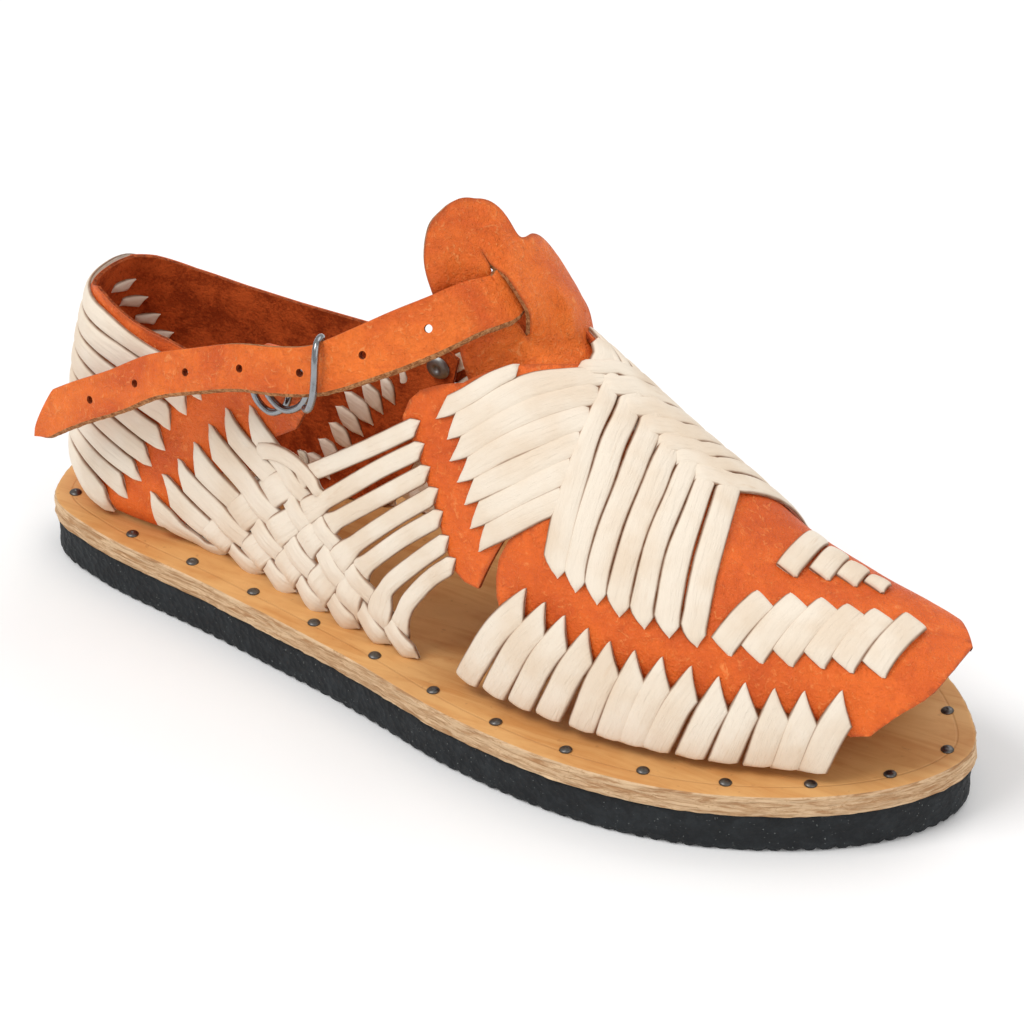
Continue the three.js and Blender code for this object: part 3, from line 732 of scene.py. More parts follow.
# ---------------------------------------------------------------- leather cut from a sheet
class Leather:
    """A sheet of leather cut to an outline on a chart, with its raw edges and its back."""

    def __init__(self, place: Callable[[float, float], tuple[Vector, Vector]], outline: Sequence[Spot],
                 top: float = -0.9, thick: float = 1.5, grid: Spot = (2.6, 2.6),
                 holes: Sequence[Sequence[Spot]] = (), step: float = 1.1, smooth: bool = True) -> None:
        """Cuts the sheet.

        Args:
            place: gives the point and the face's direction at two chart numbers.
            outline: the sheet's corners on the chart.
            top: height of the sheet's face over the chart's surface.
            thick: how thick the leather is.
            grid: spacing of the points inside it.
            holes: the outlines of its holes.
            step: spacing of the points along its edges.
            smooth: whether the outline is drawn as a smooth line.
        """
        self.place = place
        self.top, self.thick = top, thick
        self.loops = [self._trace(loop, step, smooth) for loop in (outline, *holes)]
        self.points, self.triangles = self._cut(grid, step)

    @staticmethod
    def _trace(loop: Sequence[Spot], step: float, smooth: bool) -> list[Spot]:
        """Draws an outline.

        Args:
            loop: its corners.
            step: spacing of the places.
            smooth: whether it is drawn as a smooth line.

        Returns:
            The places, in order.
        """
        if smooth:
            return [tuple(p) for p in smooth_rows(loop, step, closed=True)]
        out = []
        for a, b in zip(loop, [*loop[1:], loop[0]]):
            steps = max(1, math.ceil(math.dist(a, b) / step))
            out += [(mix(a[0], b[0], n / steps), mix(a[1], b[1], n / steps)) for n in range(steps)]
        return out

    @staticmethod
    def _inside(p: Spot, loop: Sequence[Spot]) -> bool:
        """Finds whether a place is inside a closed line.

        Args:
            p: the place.
            loop: the line's corners.

        Returns:
            True where it is inside.
        """
        u, v = p
        within = False
        for (x0, y0), (x1, y1) in zip(loop, [*loop[1:], loop[0]]):
            if (y0 > v) != (y1 > v) and u < (x1 - x0) * (v - y0) / (y1 - y0) + x0:
                within = not within
        return within

    def _holds(self, p: Spot) -> bool:
        """Whether a place is in the sheet and in none of its holes."""
        return self._inside(p, self.loops[0]) and not any(self._inside(p, h) for h in self.loops[1:])

    def _cut(self, grid: Spot, step: float) -> tuple[list[Spot], list[tuple[int, ...]]]:
        """Fills the sheet with triangles.

        Args:
            grid: spacing of the points inside it.
            step: spacing of the points along its edges.

        Returns:
            The points on the chart, and the triangles as their numbers.
        """
        rims = [p for loop in self.loops for p in loop]
        points = list(rims)
        edges = []
        start = 0
        for loop in self.loops:
            edges += [(start + i, start + (i + 1) % len(loop)) for i in range(len(loop))]
            start += len(loop)
        (low_u, high_u), (low_v, high_v) = ((min(c), max(c)) for c in zip(*self.loops[0]))
        for i in range(math.ceil((high_u - low_u) / grid[0])):
            for j in range(math.ceil((high_v - low_v) / grid[1])):
                p = (low_u + (i + 0.5 + 0.25 * (j % 2)) * grid[0], low_v + (j + 0.5) * grid[1])
                if self._holds(p) and min(math.dist(p, r) for r in rims) > step * 0.75:
                    points.append(p)
        made = geometry.delaunay_2d_cdt([Vector(p) for p in points], edges, [], 0, 1e-5)
        spots = [(v.x, v.y) for v in made[0]]
        faces = []
        for tri in made[2]:
            middle = tuple(sum(spots[k][c] for k in tri) / 3 for c in (0, 1))
            if self._holds(middle):
                faces.append(tuple(tri))
        return spots, faces

    def lay(self, draft: Draft, rise: Callable[[float, float], float] = lambda u, v: 0.0,
            edge: float = 0.35) -> None:
        """Adds the sheet to a piece whose finishes are the face's, the cut edge's and the back's.

        Args:
            draft: the piece.
            rise: how far a place stands out more than the sheet.
            edge: how far the cut edge is rounded over.
        """
        # an edge that one triangle has, and no other has the other way round, is on the rim
        sides = {pair for tri in self.triangles for pair in zip(tri, (*tri[1:], tri[0]))}
        rim = {k for a, b in sides if (b, a) not in sides for k in (a, b)}
        front, shoulder, back = {}, {}, {}
        for k in sorted({k for tri in self.triangles for k in tri}):
            p, n = self.place(*self.points[k])
            up = self.top + rise(*self.points[k])
            low = edge if k in rim else 0.0
            lay = self.points[k]
            front[k] = draft.add(p + n * (up - low * 0.4), lay, 1.0 if k in rim else 0.0)
            if k in rim:
                shoulder[k] = draft.add(p + n * (up - edge * 1.6), lay, 1.0)
            back[k] = draft.add(p + n * (up - self.thick), lay, 0.0)
        for tri in self.triangles:
            draft.face([front[k] for k in tri], 0)
            draft.face([back[k] for k in reversed(tri)], 2)
            for a, b in zip(tri, (*tri[1:], tri[0])):
                if (b, a) not in sides:
                    draft.face((front[b], front[a], shoulder[a], shoulder[b]), 0)
                    draft.face((shoulder[b], shoulder[a], back[a], back[b]), 1)


def on_chart(chart: Chart) -> Callable[[float, float], tuple[Vector, Vector]]:
    """Gives the point and the face's direction of a chart."""
    return lambda u, v: (chart.place(u, v), chart.normal(u, v))


# ---------------------------------------------------------------- materials
def colour(red: float, green: float, blue: float) -> tuple[float, float, float, float]:
    """A display colour of 0 to 255 as a linear colour.

    Args:
        red, green, blue: its parts.

    Returns:
        The linear colour, opaque.
    """
    def linear(c: float) -> float:
        """One part of the colour."""
        c /= 255
        return c / 12.92 if c <= 0.04045 else ((c + 0.055) / 1.055) ** 2.4

    return linear(red), linear(green), linear(blue), 1.0


class Wire:
    """A socket of a material that Python sums can be written with."""

    def __init__(self, dresser: "Dresser", socket: bpy.types.NodeSocket) -> None:
        """Wraps an output socket of a material that is being built."""
        self.dresser, self.socket = dresser, socket

    def _sum(self, operation: str, first: "Wire | float", second: "Wire | float") -> "Wire":
        """Adds one Math node.

        Args:
            operation: the sum that it does.
            first: its first value.
            second: its second value.

        Returns:
            Its result.
        """
        node = self.dresser.node("ShaderNodeMath", {"operation": operation})
        self.dresser.feed(node.inputs[0], first)
        self.dresser.feed(node.inputs[1], second)
        return Wire(self.dresser, node.outputs[0])

    def __add__(self, other: "Wire | float") -> "Wire":
        """Self plus another."""
        return self._sum("ADD", self, other)

    __radd__ = __add__

    def __sub__(self, other: "Wire | float") -> "Wire":
        """Self less another."""
        return self._sum("SUBTRACT", self, other)

    def __rsub__(self, other: float) -> "Wire":
        """A number less self."""
        return self._sum("SUBTRACT", other, self)

    def __mul__(self, other: "Wire | float") -> "Wire":
        """Self times another."""
        return self._sum("MULTIPLY", self, other)

    __rmul__ = __mul__

    def over(self, low: float, high: float) -> "Wire":
        """Turns self into a soft mask.

        Args:
            low: the value up to which the result is 0.
            high: the value from which it is 1.

        Returns:
            The result, smooth between them.
        """
        node = self.dresser.node("ShaderNodeMapRange", {"interpolation_type": "SMOOTHSTEP"}, Value=self,
                                 From_Min=low, From_Max=high)
        return Wire(self.dresser, node.outputs[0])


class Dresser:
    """Builds one material's nodes."""

    # the colour sockets of a Mix node, whose names others share
    MIX_A, MIX_B, MIX_OUT = 6, 7, 2

    def __init__(self, name: str) -> None:
        """Starts a material with a plain shader.

        Args:
            name: the material's name.
        """
        self.material = bpy.data.materials.new(name)
        self.material.use_nodes = True
        self.tree = self.material.node_tree
        self.shader = self.tree.nodes["Principled BSDF"]
        self.spot = self.node("ShaderNodeTexCoord").outputs["Object"]

    def node(self, kind: str, settings: dict | None = None, **values: object) -> bpy.types.Node:
        """Adds a node.

        Args:
            kind: the node's type.
            settings: the node's own settings, which are set first.
            values: the values or wires of its sockets, by name with underscores for spaces.

        Returns:
            The node.
        """
        node = self.tree.nodes.new(kind)
        for key, value in (settings or {}).items():
            setattr(node, key, value)
        for key, value in values.items():
            self.feed(node.inputs[key.replace("_", " ")], value)
        return node

    def feed(self, socket: bpy.types.NodeSocket, value: object) -> None:
        """Sets a socket to a value, or links it to a wire or another socket.

        Args:
            socket: the input socket.
            value: a wire, an output socket or a plain value.
        """
        if isinstance(value, Wire):
            self.tree.links.new(value.socket, socket)
        elif isinstance(value, bpy.types.NodeSocket):
            self.tree.links.new(value, socket)
        else:
            socket.default_value = value

    def wire(self, socket: bpy.types.NodeSocket) -> Wire:
        """Wraps an output socket."""
        return Wire(self, socket)

    def grain(self, scale: float, detail: float = 3.0, rough: float = 0.55, warp: float = 0.0,
              on: bpy.types.NodeSocket | None = None) -> Wire:
        """Noise over the piece.

        Args:
            scale: how many grains to a metre.
            detail: how many finer layers it has.
            rough: how strong the finer layers are.
            warp: how far it is bent by itself.
            on: the place that it reads, by default the piece's own.

        Returns:
            The noise, from 0 to 1.
        """
        node = self.node("ShaderNodeTexNoise", None, Vector=on or self.spot, Scale=scale, Detail=detail,
                         Roughness=rough, Distortion=warp)
        return self.wire(node.outputs["Fac"])

    def cells(self, scale: float) -> Wire:
        """Cells of a size over the piece."""
        node = self.node("ShaderNodeTexVoronoi", None, Vector=self.spot, Scale=scale)
        return self.wire(node.outputs["Distance"])

    def stretched(self, name: str, sizes: tuple[float, float, float]) -> bpy.types.NodeSocket:
        """The piece's own lay of the hide, scaled."""
        lay = self.node("ShaderNodeUVMap", {"uv_map": name})
        return self.node("ShaderNodeMapping", None, Vector=lay.outputs[0], Scale=sizes).outputs[0]

    def near_rim(self) -> Wire:
        """How near a cut edge a place is."""
        return self.wire(self.node("ShaderNodeAttribute", {"attribute_name": "rim_nearness"}).outputs["Fac"])

    def blend(self, amount: Wire, a: object, b: object) -> bpy.types.NodeSocket:
        """Mixes two colours.

        Args:
            amount: the share of the second colour.
            a: the first colour.
            b: the second colour.

        Returns:
            The mixed colour.
        """
        node = self.node("ShaderNodeMix", {"data_type": "RGBA"})
        self.feed(node.inputs["Factor"], amount)
        self.feed(node.inputs[self.MIX_A], a)
        self.feed(node.inputs[self.MIX_B], b)
        return node.outputs[self.MIX_OUT]

    def bump(self, height: Wire, depth: float,
             before: bpy.types.NodeSocket | None = None) -> bpy.types.NodeSocket:
        """Raises the surface by a pattern.

        Args:
            height: the pattern.
            depth: how deep it goes, in metres.
            before: a bump that it adds to.

        Returns:
            The raised surface.
        """
        node = self.node("ShaderNodeBump", None, Height=height, Strength=1.0, Distance=depth)
        if before is not None:
            self.feed(node.inputs["Normal"], before)
        return node.outputs[0]

    def finish(self, base: object, roughness: object, normal: bpy.types.NodeSocket | None = None,
               **fixed: object) -> bpy.types.Material:
        """Connects the shader.

        Args:
            base: the colour.
            roughness: how rough the surface is.
            normal: the raised surface, if it has one.
            fixed: the shader's other values, by name with underscores for spaces.

        Returns:
            The finished material.
        """
        self.feed(self.shader.inputs["Base Color"], base)
        self.feed(self.shader.inputs["Roughness"], roughness)
        if normal is not None:
            self.feed(self.shader.inputs["Normal"], normal)
        for key, value in fixed.items():
            self.shader.inputs[key.replace("_", " ")].default_value = value
        return self.material


@dataclass(frozen=True)
class ThongHide:
    """Undyed hide of the thongs: pale cream, fibrous along its length, darker at its edges with soil and with
    painted shade of the grooves between thongs.
    """

    pale: tuple = colour(243, 229, 210)
    warm: tuple = colour(234, 214, 190)
    soil_and_groove_shade: tuple = colour(132, 86, 52)

    def make(self) -> bpy.types.Material:
        """Builds the material.

        Returns:
            The finished material.
        """
        d = Dresser("thong_hide")
        along = d.stretched("Lay", (90, 700, 1))
        fibre = d.grain(1.0, 4, 0.6, 0.4, along)
        patch = d.grain(60, 3, 0.5)
        streak = d.grain(1.0, 3, 0.7, 1.2, d.stretched("Lay", (35, 260, 1)))
        base = d.blend(patch.over(0.35, 0.7), self.pale, self.warm)
        base = d.blend(streak.over(0.62, 0.8) * 0.45, base, colour(214, 182, 148))
        # painted shade: the thongs' edges are darkened towards the soiled brown, which stands for soil and
        # for the shade in the grooves between neighbouring thongs
        edge = d.near_rim().over(0.8, 0.98) * (0.6 + 0.6 * d.grain(300, 2))
        base = d.blend(edge, base, self.soil_and_groove_shade)
        normal = d.bump(fibre + 0.9 * streak, 0.00042)
        normal = d.bump(d.grain(900, 2, 0.6), 0.00005, normal)
        return d.finish(base, 0.5 + 0.18 * fibre, normal, Specular_IOR_Level=0.35)


@dataclass(frozen=True)
class OrangeLeather:
    """Vegetable leather dyed orange: mottled, with fine grain, creases, a low shine and painted highlights on
    its wrinkles.
    """

    name: str = "orange_leather"
    bright: tuple = colour(248, 114, 34)
    deep: tuple = colour(212, 84, 20)
    # the colour of pale scratches and of painted highlights on the wrinkles
    light: tuple = colour(255, 156, 84)
    crease: float = 1.0

    def make(self) -> bpy.types.Material:
        """Builds the material.

        Returns:
            The finished material.
        """
        d = Dresser(self.name)
        mottle = d.grain(42, 5, 0.6, 0.6)
        pores = d.cells(1500)
        wrinkle = d.grain(340, 6, 0.7, 1.8)
        folds = d.grain(95, 3, 0.6, 2.2)
        base = d.blend(mottle.over(0.3, 0.75), self.bright, self.deep)
        # lighter where the wrinkles rise: partly pale scratches, partly painted highlights on the wrinkles
        base = d.blend(wrinkle.over(0.54, 0.7) * 0.6, base, self.light)
        base = d.blend(folds.over(0.6, 0.7) * 0.35, base, self.deep)
        base = d.blend(d.near_rim().over(0.35, 1.0) * 0.45, base, colour(150, 62, 26))
        normal = d.bump(wrinkle * self.crease + folds * (0.9 * self.crease), 0.0006)
        normal = d.bump(pores, 0.0002, normal)
        return d.finish(base, 0.4 + 0.2 * wrinkle, normal, Specular_IOR_Level=0.36)


@dataclass(frozen=True)
class RawEdge:
    """The cut edge of leather: pale tan fibres."""

    name: str = "raw_edge"
    light: tuple = colour(196, 140, 92)
    dark: tuple = colour(128, 76, 40)

    def make(self) -> bpy.types.Material:
        """Builds the material.

        Returns:
            The finished material.
        """
        d = Dresser(self.name)
        fibre = d.grain(900, 4, 0.7, 0.5)
        base = d.blend(fibre.over(0.35, 0.65), self.dark, self.light)
        return d.finish(base, 0.85, d.bump(fibre, 0.0004), Specular_IOR_Level=0.2)


@dataclass(frozen=True)
class Suede:
    """The flesh side of the leather: dark, napped and dull."""

    light: tuple = colour(208, 94, 40)
    dark: tuple = colour(146, 55, 17)

    def make(self) -> bpy.types.Material:
        """Builds the material.

        Returns:
            The finished material.
        """
        d = Dresser("flesh_side")
        cloud = d.grain(110, 5, 0.7, 0.4)
        nap = d.grain(1100, 3, 0.7)
        base = d.blend((cloud * 0.7 + nap * 0.3).over(0.38, 0.62), self.dark, self.light)
        return d.finish(base, 0.9, d.bump(nap + cloud, 0.0005), Specular_IOR_Level=0.15)


@dataclass(frozen=True)
class BoardFace:
    """The smooth tan face of the leather board, with faint streaks and a scribed line."""

    light: tuple = colour(229, 175, 110)
    dark: tuple = colour(207, 142, 77)

    def make(self) -> bpy.types.Material:
        """Builds the material.

        Returns:
            The finished material.
        """
        d = Dresser("board_face")
        turned = d.node("ShaderNodeMapping", None, Vector=d.spot, Scale=(22, 140, 40)).outputs[0]
        streak = d.grain(1.0, 5, 0.65, 0.8, turned)
        cloud = d.grain(30, 4, 0.6)
        base = d.blend((streak * 0.6 + cloud * 0.4).over(0.38, 0.66), self.light, self.dark)
        base = d.blend(d.grain(420, 2).over(0.66, 0.76) * 0.35, base, colour(164, 108, 60))
        edge = d.near_rim()
        line = edge.over(0.36, 0.42) * (1 - edge.over(0.42, 0.48))
        base = d.blend(line * 0.22, base, colour(168, 112, 62))
        normal = d.bump(streak - line * 0.6, 0.00018)
        return d.finish(base, 0.46 + 0.2 * cloud, normal, Specular_IOR_Level=0.4)


@dataclass(frozen=True)
class BoardEdge:
    """The cut edge of the board: pale layers of fibre with darker flecks."""

    light: tuple = colour(232, 198, 158)
    dark: tuple = colour(182, 136, 94)

    def make(self) -> bpy.types.Material:
        """Builds the material.

        Returns:
            The finished material.
        """
        d = Dresser("board_edge")
        layers = d.node("ShaderNodeMapping", None, Vector=d.spot, Scale=(90, 90, 900)).outputs[0]
        fibre = d.grain(1.0, 5, 0.7, 1.0, layers)
        fleck = d.grain(700, 3, 0.7)
        base = d.blend(fibre.over(0.36, 0.62), self.dark, self.light)
        base = d.blend(fleck.over(0.58, 0.7) * 0.5, base, colour(188, 142, 98))
        return d.finish(base, 0.85, d.bump(fibre + 0.5 * fleck, 0.0007), Specular_IOR_Level=0.2)


@dataclass(frozen=True)
class BlackRubber:
    """Crumb rubber of the sole: near black, pitted, with pale specks."""

    black: tuple = colour(21, 24, 27)
    grey: tuple = colour(37, 41, 44)

    def make(self) -> bpy.types.Material:
        """Builds the material.

        Returns:
            The finished material.
        """
        d = Dresser("black_rubber")
        cloud = d.grain(120, 4, 0.7)
        crumb = d.cells(480)
        speck = d.grain(1500, 1, 0.5)
        base = d.blend(cloud.over(0.4, 0.65), self.black, self.grey)
        base = d.blend(speck.over(0.72, 0.78), base, colour(120, 124, 122))
        normal = d.bump(crumb + cloud, 0.0006)
        return d.finish(base, 0.62 + 0.2 * cloud, normal, Specular_IOR_Level=0.35)


@dataclass(frozen=True)
class Metal:
    """Bare steel of the buckle, rivet and nails."""

    name: str
    tone: tuple
    roughness: float

    def make(self) -> bpy.types.Material:
        """Builds the material.

        Returns:
            The finished material.
        """
        d = Dresser(self.name)
        scuff = d.grain(700, 4, 0.7, 0.5)
        base = d.blend(scuff.over(0.45, 0.75) * 0.3, self.tone, colour(96, 94, 92))
        return d.finish(base, self.roughness + 0.12 * scuff, d.bump(scuff, 0.000006), Metallic=1.0)


class Finishes:
    """All the sandal's materials."""

    def __init__(self) -> None:
        """Builds them."""
        self.thong = ThongHide().make()
        self.leather = OrangeLeather().make()
        # the strap's lightest colour is also its painted highlight on the wrinkles
        self.strap = OrangeLeather("strap_leather", colour(252, 124, 40), colour(220, 90, 22),
                                   colour(255, 168, 98), 1.4).make()
        self.raw = RawEdge().make()
        self.rim = RawEdge("dyed_edge", colour(176, 84, 40), colour(110, 44, 16)).make()
        self.suede = Suede().make()
        self.board = BoardFace().make()
        self.board_edge = BoardEdge().make()
        self.rubber = BlackRubber().make()
        self.steel = Metal("bright_steel", colour(150, 152, 155), 0.14).make()
        self.dull = Metal("dull_steel", colour(150, 150, 147), 0.4).make()
        self.nail = Metal("nail_steel", colour(104, 102, 100), 0.34).make()

    def lined(self) -> list[bpy.types.Material]:
        """The finishes of the upper's leather: its face, its cut edge and its suede back."""
        return [self.leather, self.rim, self.suede]


# ---------------------------------------------------------------- sole
@dataclass
class Sole:
    """The rubber, the leather board on it and the nails that hold them together."""

    finishes: Finishes
    rubber_height: float = 12.0
    board_low: float = 12.3
    board_high: float = 18.5
    rubber_inset: float = 1.0
    lug_pitch: float = 4.7
    lug_depth: float = 1.3
    outline: tuple[Spot, ...] = (
        (-147.5, 3), (-141, -15.5), (-121, -25), (-77, -33.5), (-25, -45), (20, -57.3), (60, -60.8),
        (95, -54.3), (127, -36.5), (143.5, -17), (147.5, 0), (138.5, 17), (115, 37), (85, 45.4),
        (45, 48), (5, 46), (-35, 42), (-75, 40), (-110, 38.5), (-134, 28.5), (-145, 15),
    )

    def edge(self, inset: float, step: float = 1.4) -> list[tuple[float, float, float]]:
        """Places round the sole.

        Args:
            inset: how far inside the outline.
            step: spacing of the places.

        Returns:
            Their x and y and the distance along the outline.
        """
        line = smooth_rows(self.outline, step, closed=True)
        out, run = [], 0.0
        for i, (x, y) in enumerate(line):
            before, after = line[i - 1], line[(i + 1) % len(line)]
            way = Vector((after[0] - before[0], after[1] - before[1])).normalized()
            out.append((x - way.y * inset, y + way.x * inset, run))
            run += math.dist((x, y), after)
        return out

    def rubber(self) -> None:
        """The rubber sole with its scalloped tread."""
        draft = Draft()
        levels = ((12.0, 2.2), (12.0, 0.5), (11.4, 0.05), (9.0, 0.0), (6.0, 0.1), (3.2, 0.0),
                  (1.6, 0.1), (0.9, 0.4), (0.0, 1.0), (0.0, 4.0))
        rings = []
        for level, (z, inset) in enumerate(levels):
            ring = []
            for x, y, run in self.edge(self.rubber_inset + inset):
                wave = 0.5 - 0.5 * math.cos(run / self.lug_pitch * 2 * math.pi)
                notch = self.lug_depth * wave**3 * (0.7 + 0.6 * noise.noise(Vector((run * 0.05, 2, 0))))
                rough = 0.35 * noise.noise(Vector((x * 0.25, y * 0.25, z * 0.4)))
                side = 1 if 2 <= level <= 7 else 0
                p = Vector((x, y, z + (notch if z < 2.5 and level < 9 else 0)))
                p += Vector((x, y, 0)).normalized() * rough * side
                ring.append(draft.add(p))
            rings.append(ring)
        draft.tube(rings)
        settle(draft.build("rubber_sole", [self.finishes.rubber], 60), "rubber", "outsole")

    def board(self) -> None:
        """The leather board with its rough cut edge."""
        draft = Draft()
        levels = ((12.3, 3.0), (12.3, 0.2), (12.8, 0.0), (14.2, 0.05), (15.8, 0.0), (17.2, 0.1),
                  (18.1, 0.05), (18.42, 0.45), (18.5, 1.1), (18.5, 3.4), (18.5, 4.6), (18.5, 9.0),
                  (18.5, 14.0))
        cut_levels = 7                  # the first so many bands are the cut edge
        rings = []
        for level, (z, inset) in enumerate(levels):
            ring = []
            for x, y, run in self.edge(inset):
                fray = 0.5 * noise.noise(Vector((run * 0.35, z * 1.6, 3)))
                fray += 0.3 * noise.noise(Vector((run * 0.06, z, 9)))
                p = Vector((x, y, z)) + Vector((x, y, 0)).normalized() * (fray if 1 <= level <= 6 else 0)
                ring.append(draft.add(p, (x, y), clamp(1 - inset / 9, 0, 1)))
            rings.append(ring)
        draft.tube(rings)
        faces = len(rings[0]) * cut_levels
        draft.coats[:faces] = [1] * faces
        piece = draft.build("leather_board", [self.finishes.board, self.finishes.board_edge], 50)
        settle(piece, "board", "footbed")

    def nails(self) -> None:
        """The domed heads of the nails, one piece, each where its solid is."""
        draft = Draft()
        names = sorted(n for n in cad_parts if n.startswith("nail_"))
        profile = ((0.9, -0.6), (1.75, -0.15), (1.85, 0.1), (1.6, 0.42), (1.1, 0.66), (0.5, 0.78),
                   (0.05, 0.8))
        for number, name in enumerate(names):
            low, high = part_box(name)
            centre = (low + high) / 2 / MM
            leans = (noise.noise(Vector((number, 0.3, 0))), noise.noise(Vector((0.7, number, 0))), 0)
            lean = Vector(leans) * 0.25
            rings = []
            for radius, rise in profile:
                ring = []
                for a in round_angles(16):
                    way = Vector((math.cos(a), math.sin(a), 0))
                    z = self.board_high + 0.1 + rise + lean.dot(way)
                    ring.append(draft.add(Vector((centre.x + radius * way.x, centre.y + radius * way.y, z))))
                rings.append(ring)
            draft.tube(rings)
        settle(draft.build("nail_heads", [self.finishes.nail], 60), "nail", *names)


# ---------------------------------------------------------------- heel counter
@dataclass
class Counter:
    """The heel's leather, the thongs wrapped round it and their ends inside."""

    finishes: Finishes
    sunk: float = 1.6
    rim: tuple[Spot, ...] = ((0, 88.8), (15.7, 89.0), (28.4, 91.8), (36, 91.3), (44, 89.4), (57.4, 85.0),
                             (66, 83.0), (80, 81.4), (92, 84.4))
    rim_medial: tuple[Spot, ...] = ((-14, 88.0), (-28, 86.0), (-45, 82.4), (-58, 80.7), (-75, 79.5),
                                    (-105, 78.2), (-118, 77.6), (-126, 74), (-124, 66), (-121, 57))
    # lower edge of each wrapped thong, from the back of the heel to its tip
    wraps: tuple[tuple[Spot, ...], ...] = (
        ((0, 83.2), (15, 82.8), (29.4, 81.6), (45.6, 80.6), (54, 76.6), (63, 72.4), (71.8, 67.7)),
        ((0, 76.2), (15, 75.7), (27.6, 74.4), (42, 72.4), (50, 70.2), (58, 66.4), (67.0, 61.1)),
        ((0, 69), (15, 68.6), (27, 67.4), (39, 65.6), (52.8, 60.4), (61.6, 54.5)),
        ((0, 61.4), (14, 61.0), (25.2, 60.2), (34, 58.6), (46.8, 54.4), (58.6, 47.9)),
        ((0, 54), (14, 53.6), (27, 52.2), (39, 48.6), (47, 45.4), (56.2, 41.3)),
        ((0, 46.4), (14, 46.0), (27.6, 44.2), (36, 41.6), (45, 38.6), (53.8, 35.3)),
        ((0, 38.6), (14, 38.2), (27.6, 36.4), (38, 32.8), (50.2, 27.5)),
        ((0, 29.6), (14, 29.2), (24, 27.4), (32, 23.6), (38, 20.6), (44.2, 18.1)),
    )
    band_edge: tuple[Spot, ...] = ((0, 90.0), (15, 89.6), (33, 88.2), (49.2, 84.6), (57.6, 80.6), (74, 76))
    petals_heel: tuple[tuple[Spot, Spot], ...] = (
        ((4.6, 76.2), (17.2, 80.2)), ((12.7, 69.4), (25.0, 73.2)), ((22.0, 62.2), (31.0, 67.0)),
        ((28, 56.5), (36.5, 61.0)), ((33, 50), (41, 54.5)), ((37, 43), (45, 47.5)), ((40, 36), (48, 40)),
    )
    petals_side: tuple[tuple[Spot, Spot], ...] = (
        ((105.7, 64.6), (110.2, 59.6)), ((100.4, 61.4), (106.8, 55.0)), ((94.4, 58.2), (103.0, 51.0)),
        ((88.9, 53.4), (99.6, 46.6)), ((86.0, 47.6), (96.2, 42.0)), ((83.6, 41.4), (92.8, 36.2)),
        ((80, 35), (89, 30)), ((76, 29), (85, 24.5)),
    )

    def build(self) -> None:
        """Makes the counter's pieces."""
        self.leather()
        self.wrapped()
        self.ends_inside()

    def leather(self) -> None:
        """The counter's sheet, from the lateral side round the heel to the medial."""
        lateral = [*self.rim, (96.5, 88.4), (107.4, 88.4), (108.3, 79), (105, 72.5), (96, 66), (91, 60),
                   (84, 54), (77, 47.5), (71, 40), (66, 32), (63, 25), (61, 19.0)]
        medial = [*self.rim_medial, (-117, 48), (-113, 40), (-109, 32), (-105, 25), (-101, 19.0)]
        foot = [(g, 19.0) for g in range(54, -99, -6)]
        outline = [*lateral, *foot, *reversed(medial)]
        sheet = Leather(on_chart(SIDE), outline, top=-1.0, thick=1.5, grid=(2.6, 2.6), smooth=False)
        draft = Draft()

        def roll(u: float, v: float) -> float:
            """The rolled rim, and the sunk part that the weave lies over on the medial side."""
            rim = self.height_at(u)
            return 0.5 * ease(v, rim - 4.5, rim - 1.0) - self.sunk * ease(-u, 60, 72) * ease(66 - v, 0, 6)

        sheet.lay(draft, roll)
        piece = draft.build("heel_counter", self.finishes.lined(), 55)
        settle(piece, "tan_leather", "upper")

    def height_at(self, girth: float) -> float:
        """Height of the collar's rim at a place round the foot."""
        rows = sorted([*self.rim, (107, 88), *[(g, z) for g, z in self.rim_medial if g > -119]])
        return read_table(rows, max(girth, rows[0][0]))

    @staticmethod
    def level(rows: Sequence[Spot], girth: float) -> float:
        """Height of a line at a place round the foot, straight on past its end."""
        (g0, z0), (g1, z1) = rows[-2:]
        return read_table(rows, girth) + (z1 - z0) / (g1 - g0) * max(girth - g1, 0.0)

    def step_down(self, girth: float, z: float) -> float:
        """How much lower a wrap lies on the medial side, where the rim is lower."""
        return max(0.0, self.height_at(girth) - self.height_at(-girth)) * ease(z, 20, 80)

    def wrapped(self) -> None:
        """The eight thongs round the heel."""
        draft = Draft()
        uppers = (self.band_edge, *self.wraps)
        for k, (low, above) in enumerate(zip(self.wraps, uppers)):
            end = low[-1][0]
            marks = sorted({0.0, *(end * n / 7 for n in range(8))})
            half = []
            for g in marks:
                z0, z1 = self.level(low, g), self.level(above, g)
                half.append((g, (z0 + z1) / 2, z1 - z0))
            medial = [(-g, z - self.step_down(g, z)) for g, z, _ in reversed(half)]
            run = Run.on(SIDE, [*medial, *((g, z) for g, z, _ in half[1:])], 1.5)
            total = run.length

            def width(d: float) -> float:
                """The wrap's width.

                Args:
                    d: the distance along the wrap.

                Returns:
                    The width, which fills the room to the wrap above and is less at the tips.
                """
                g = clamp(abs(d / total * 2 - 1) * end, 0, end)
                for (g0, _, h0), (g1, _, h1) in zip(half, half[1:]):
                    if g <= g1:
                        slope = 0.86 + 0.14 * (1 - g / end)
                        return mix(h0, h1, (g - g0) / (g1 - g0)) * slope + 0.35
                return half[-1][2]

            tip = Tip(left=3.8, right=0.6, at=-0.9, dip=0.9)
            Thong(run, width, tip, tip, 1.7, number=Lot.WRAPS.number(k)).lay(draft)
        settle(draft.build("heel_wraps", [self.finishes.thong]), "thong")

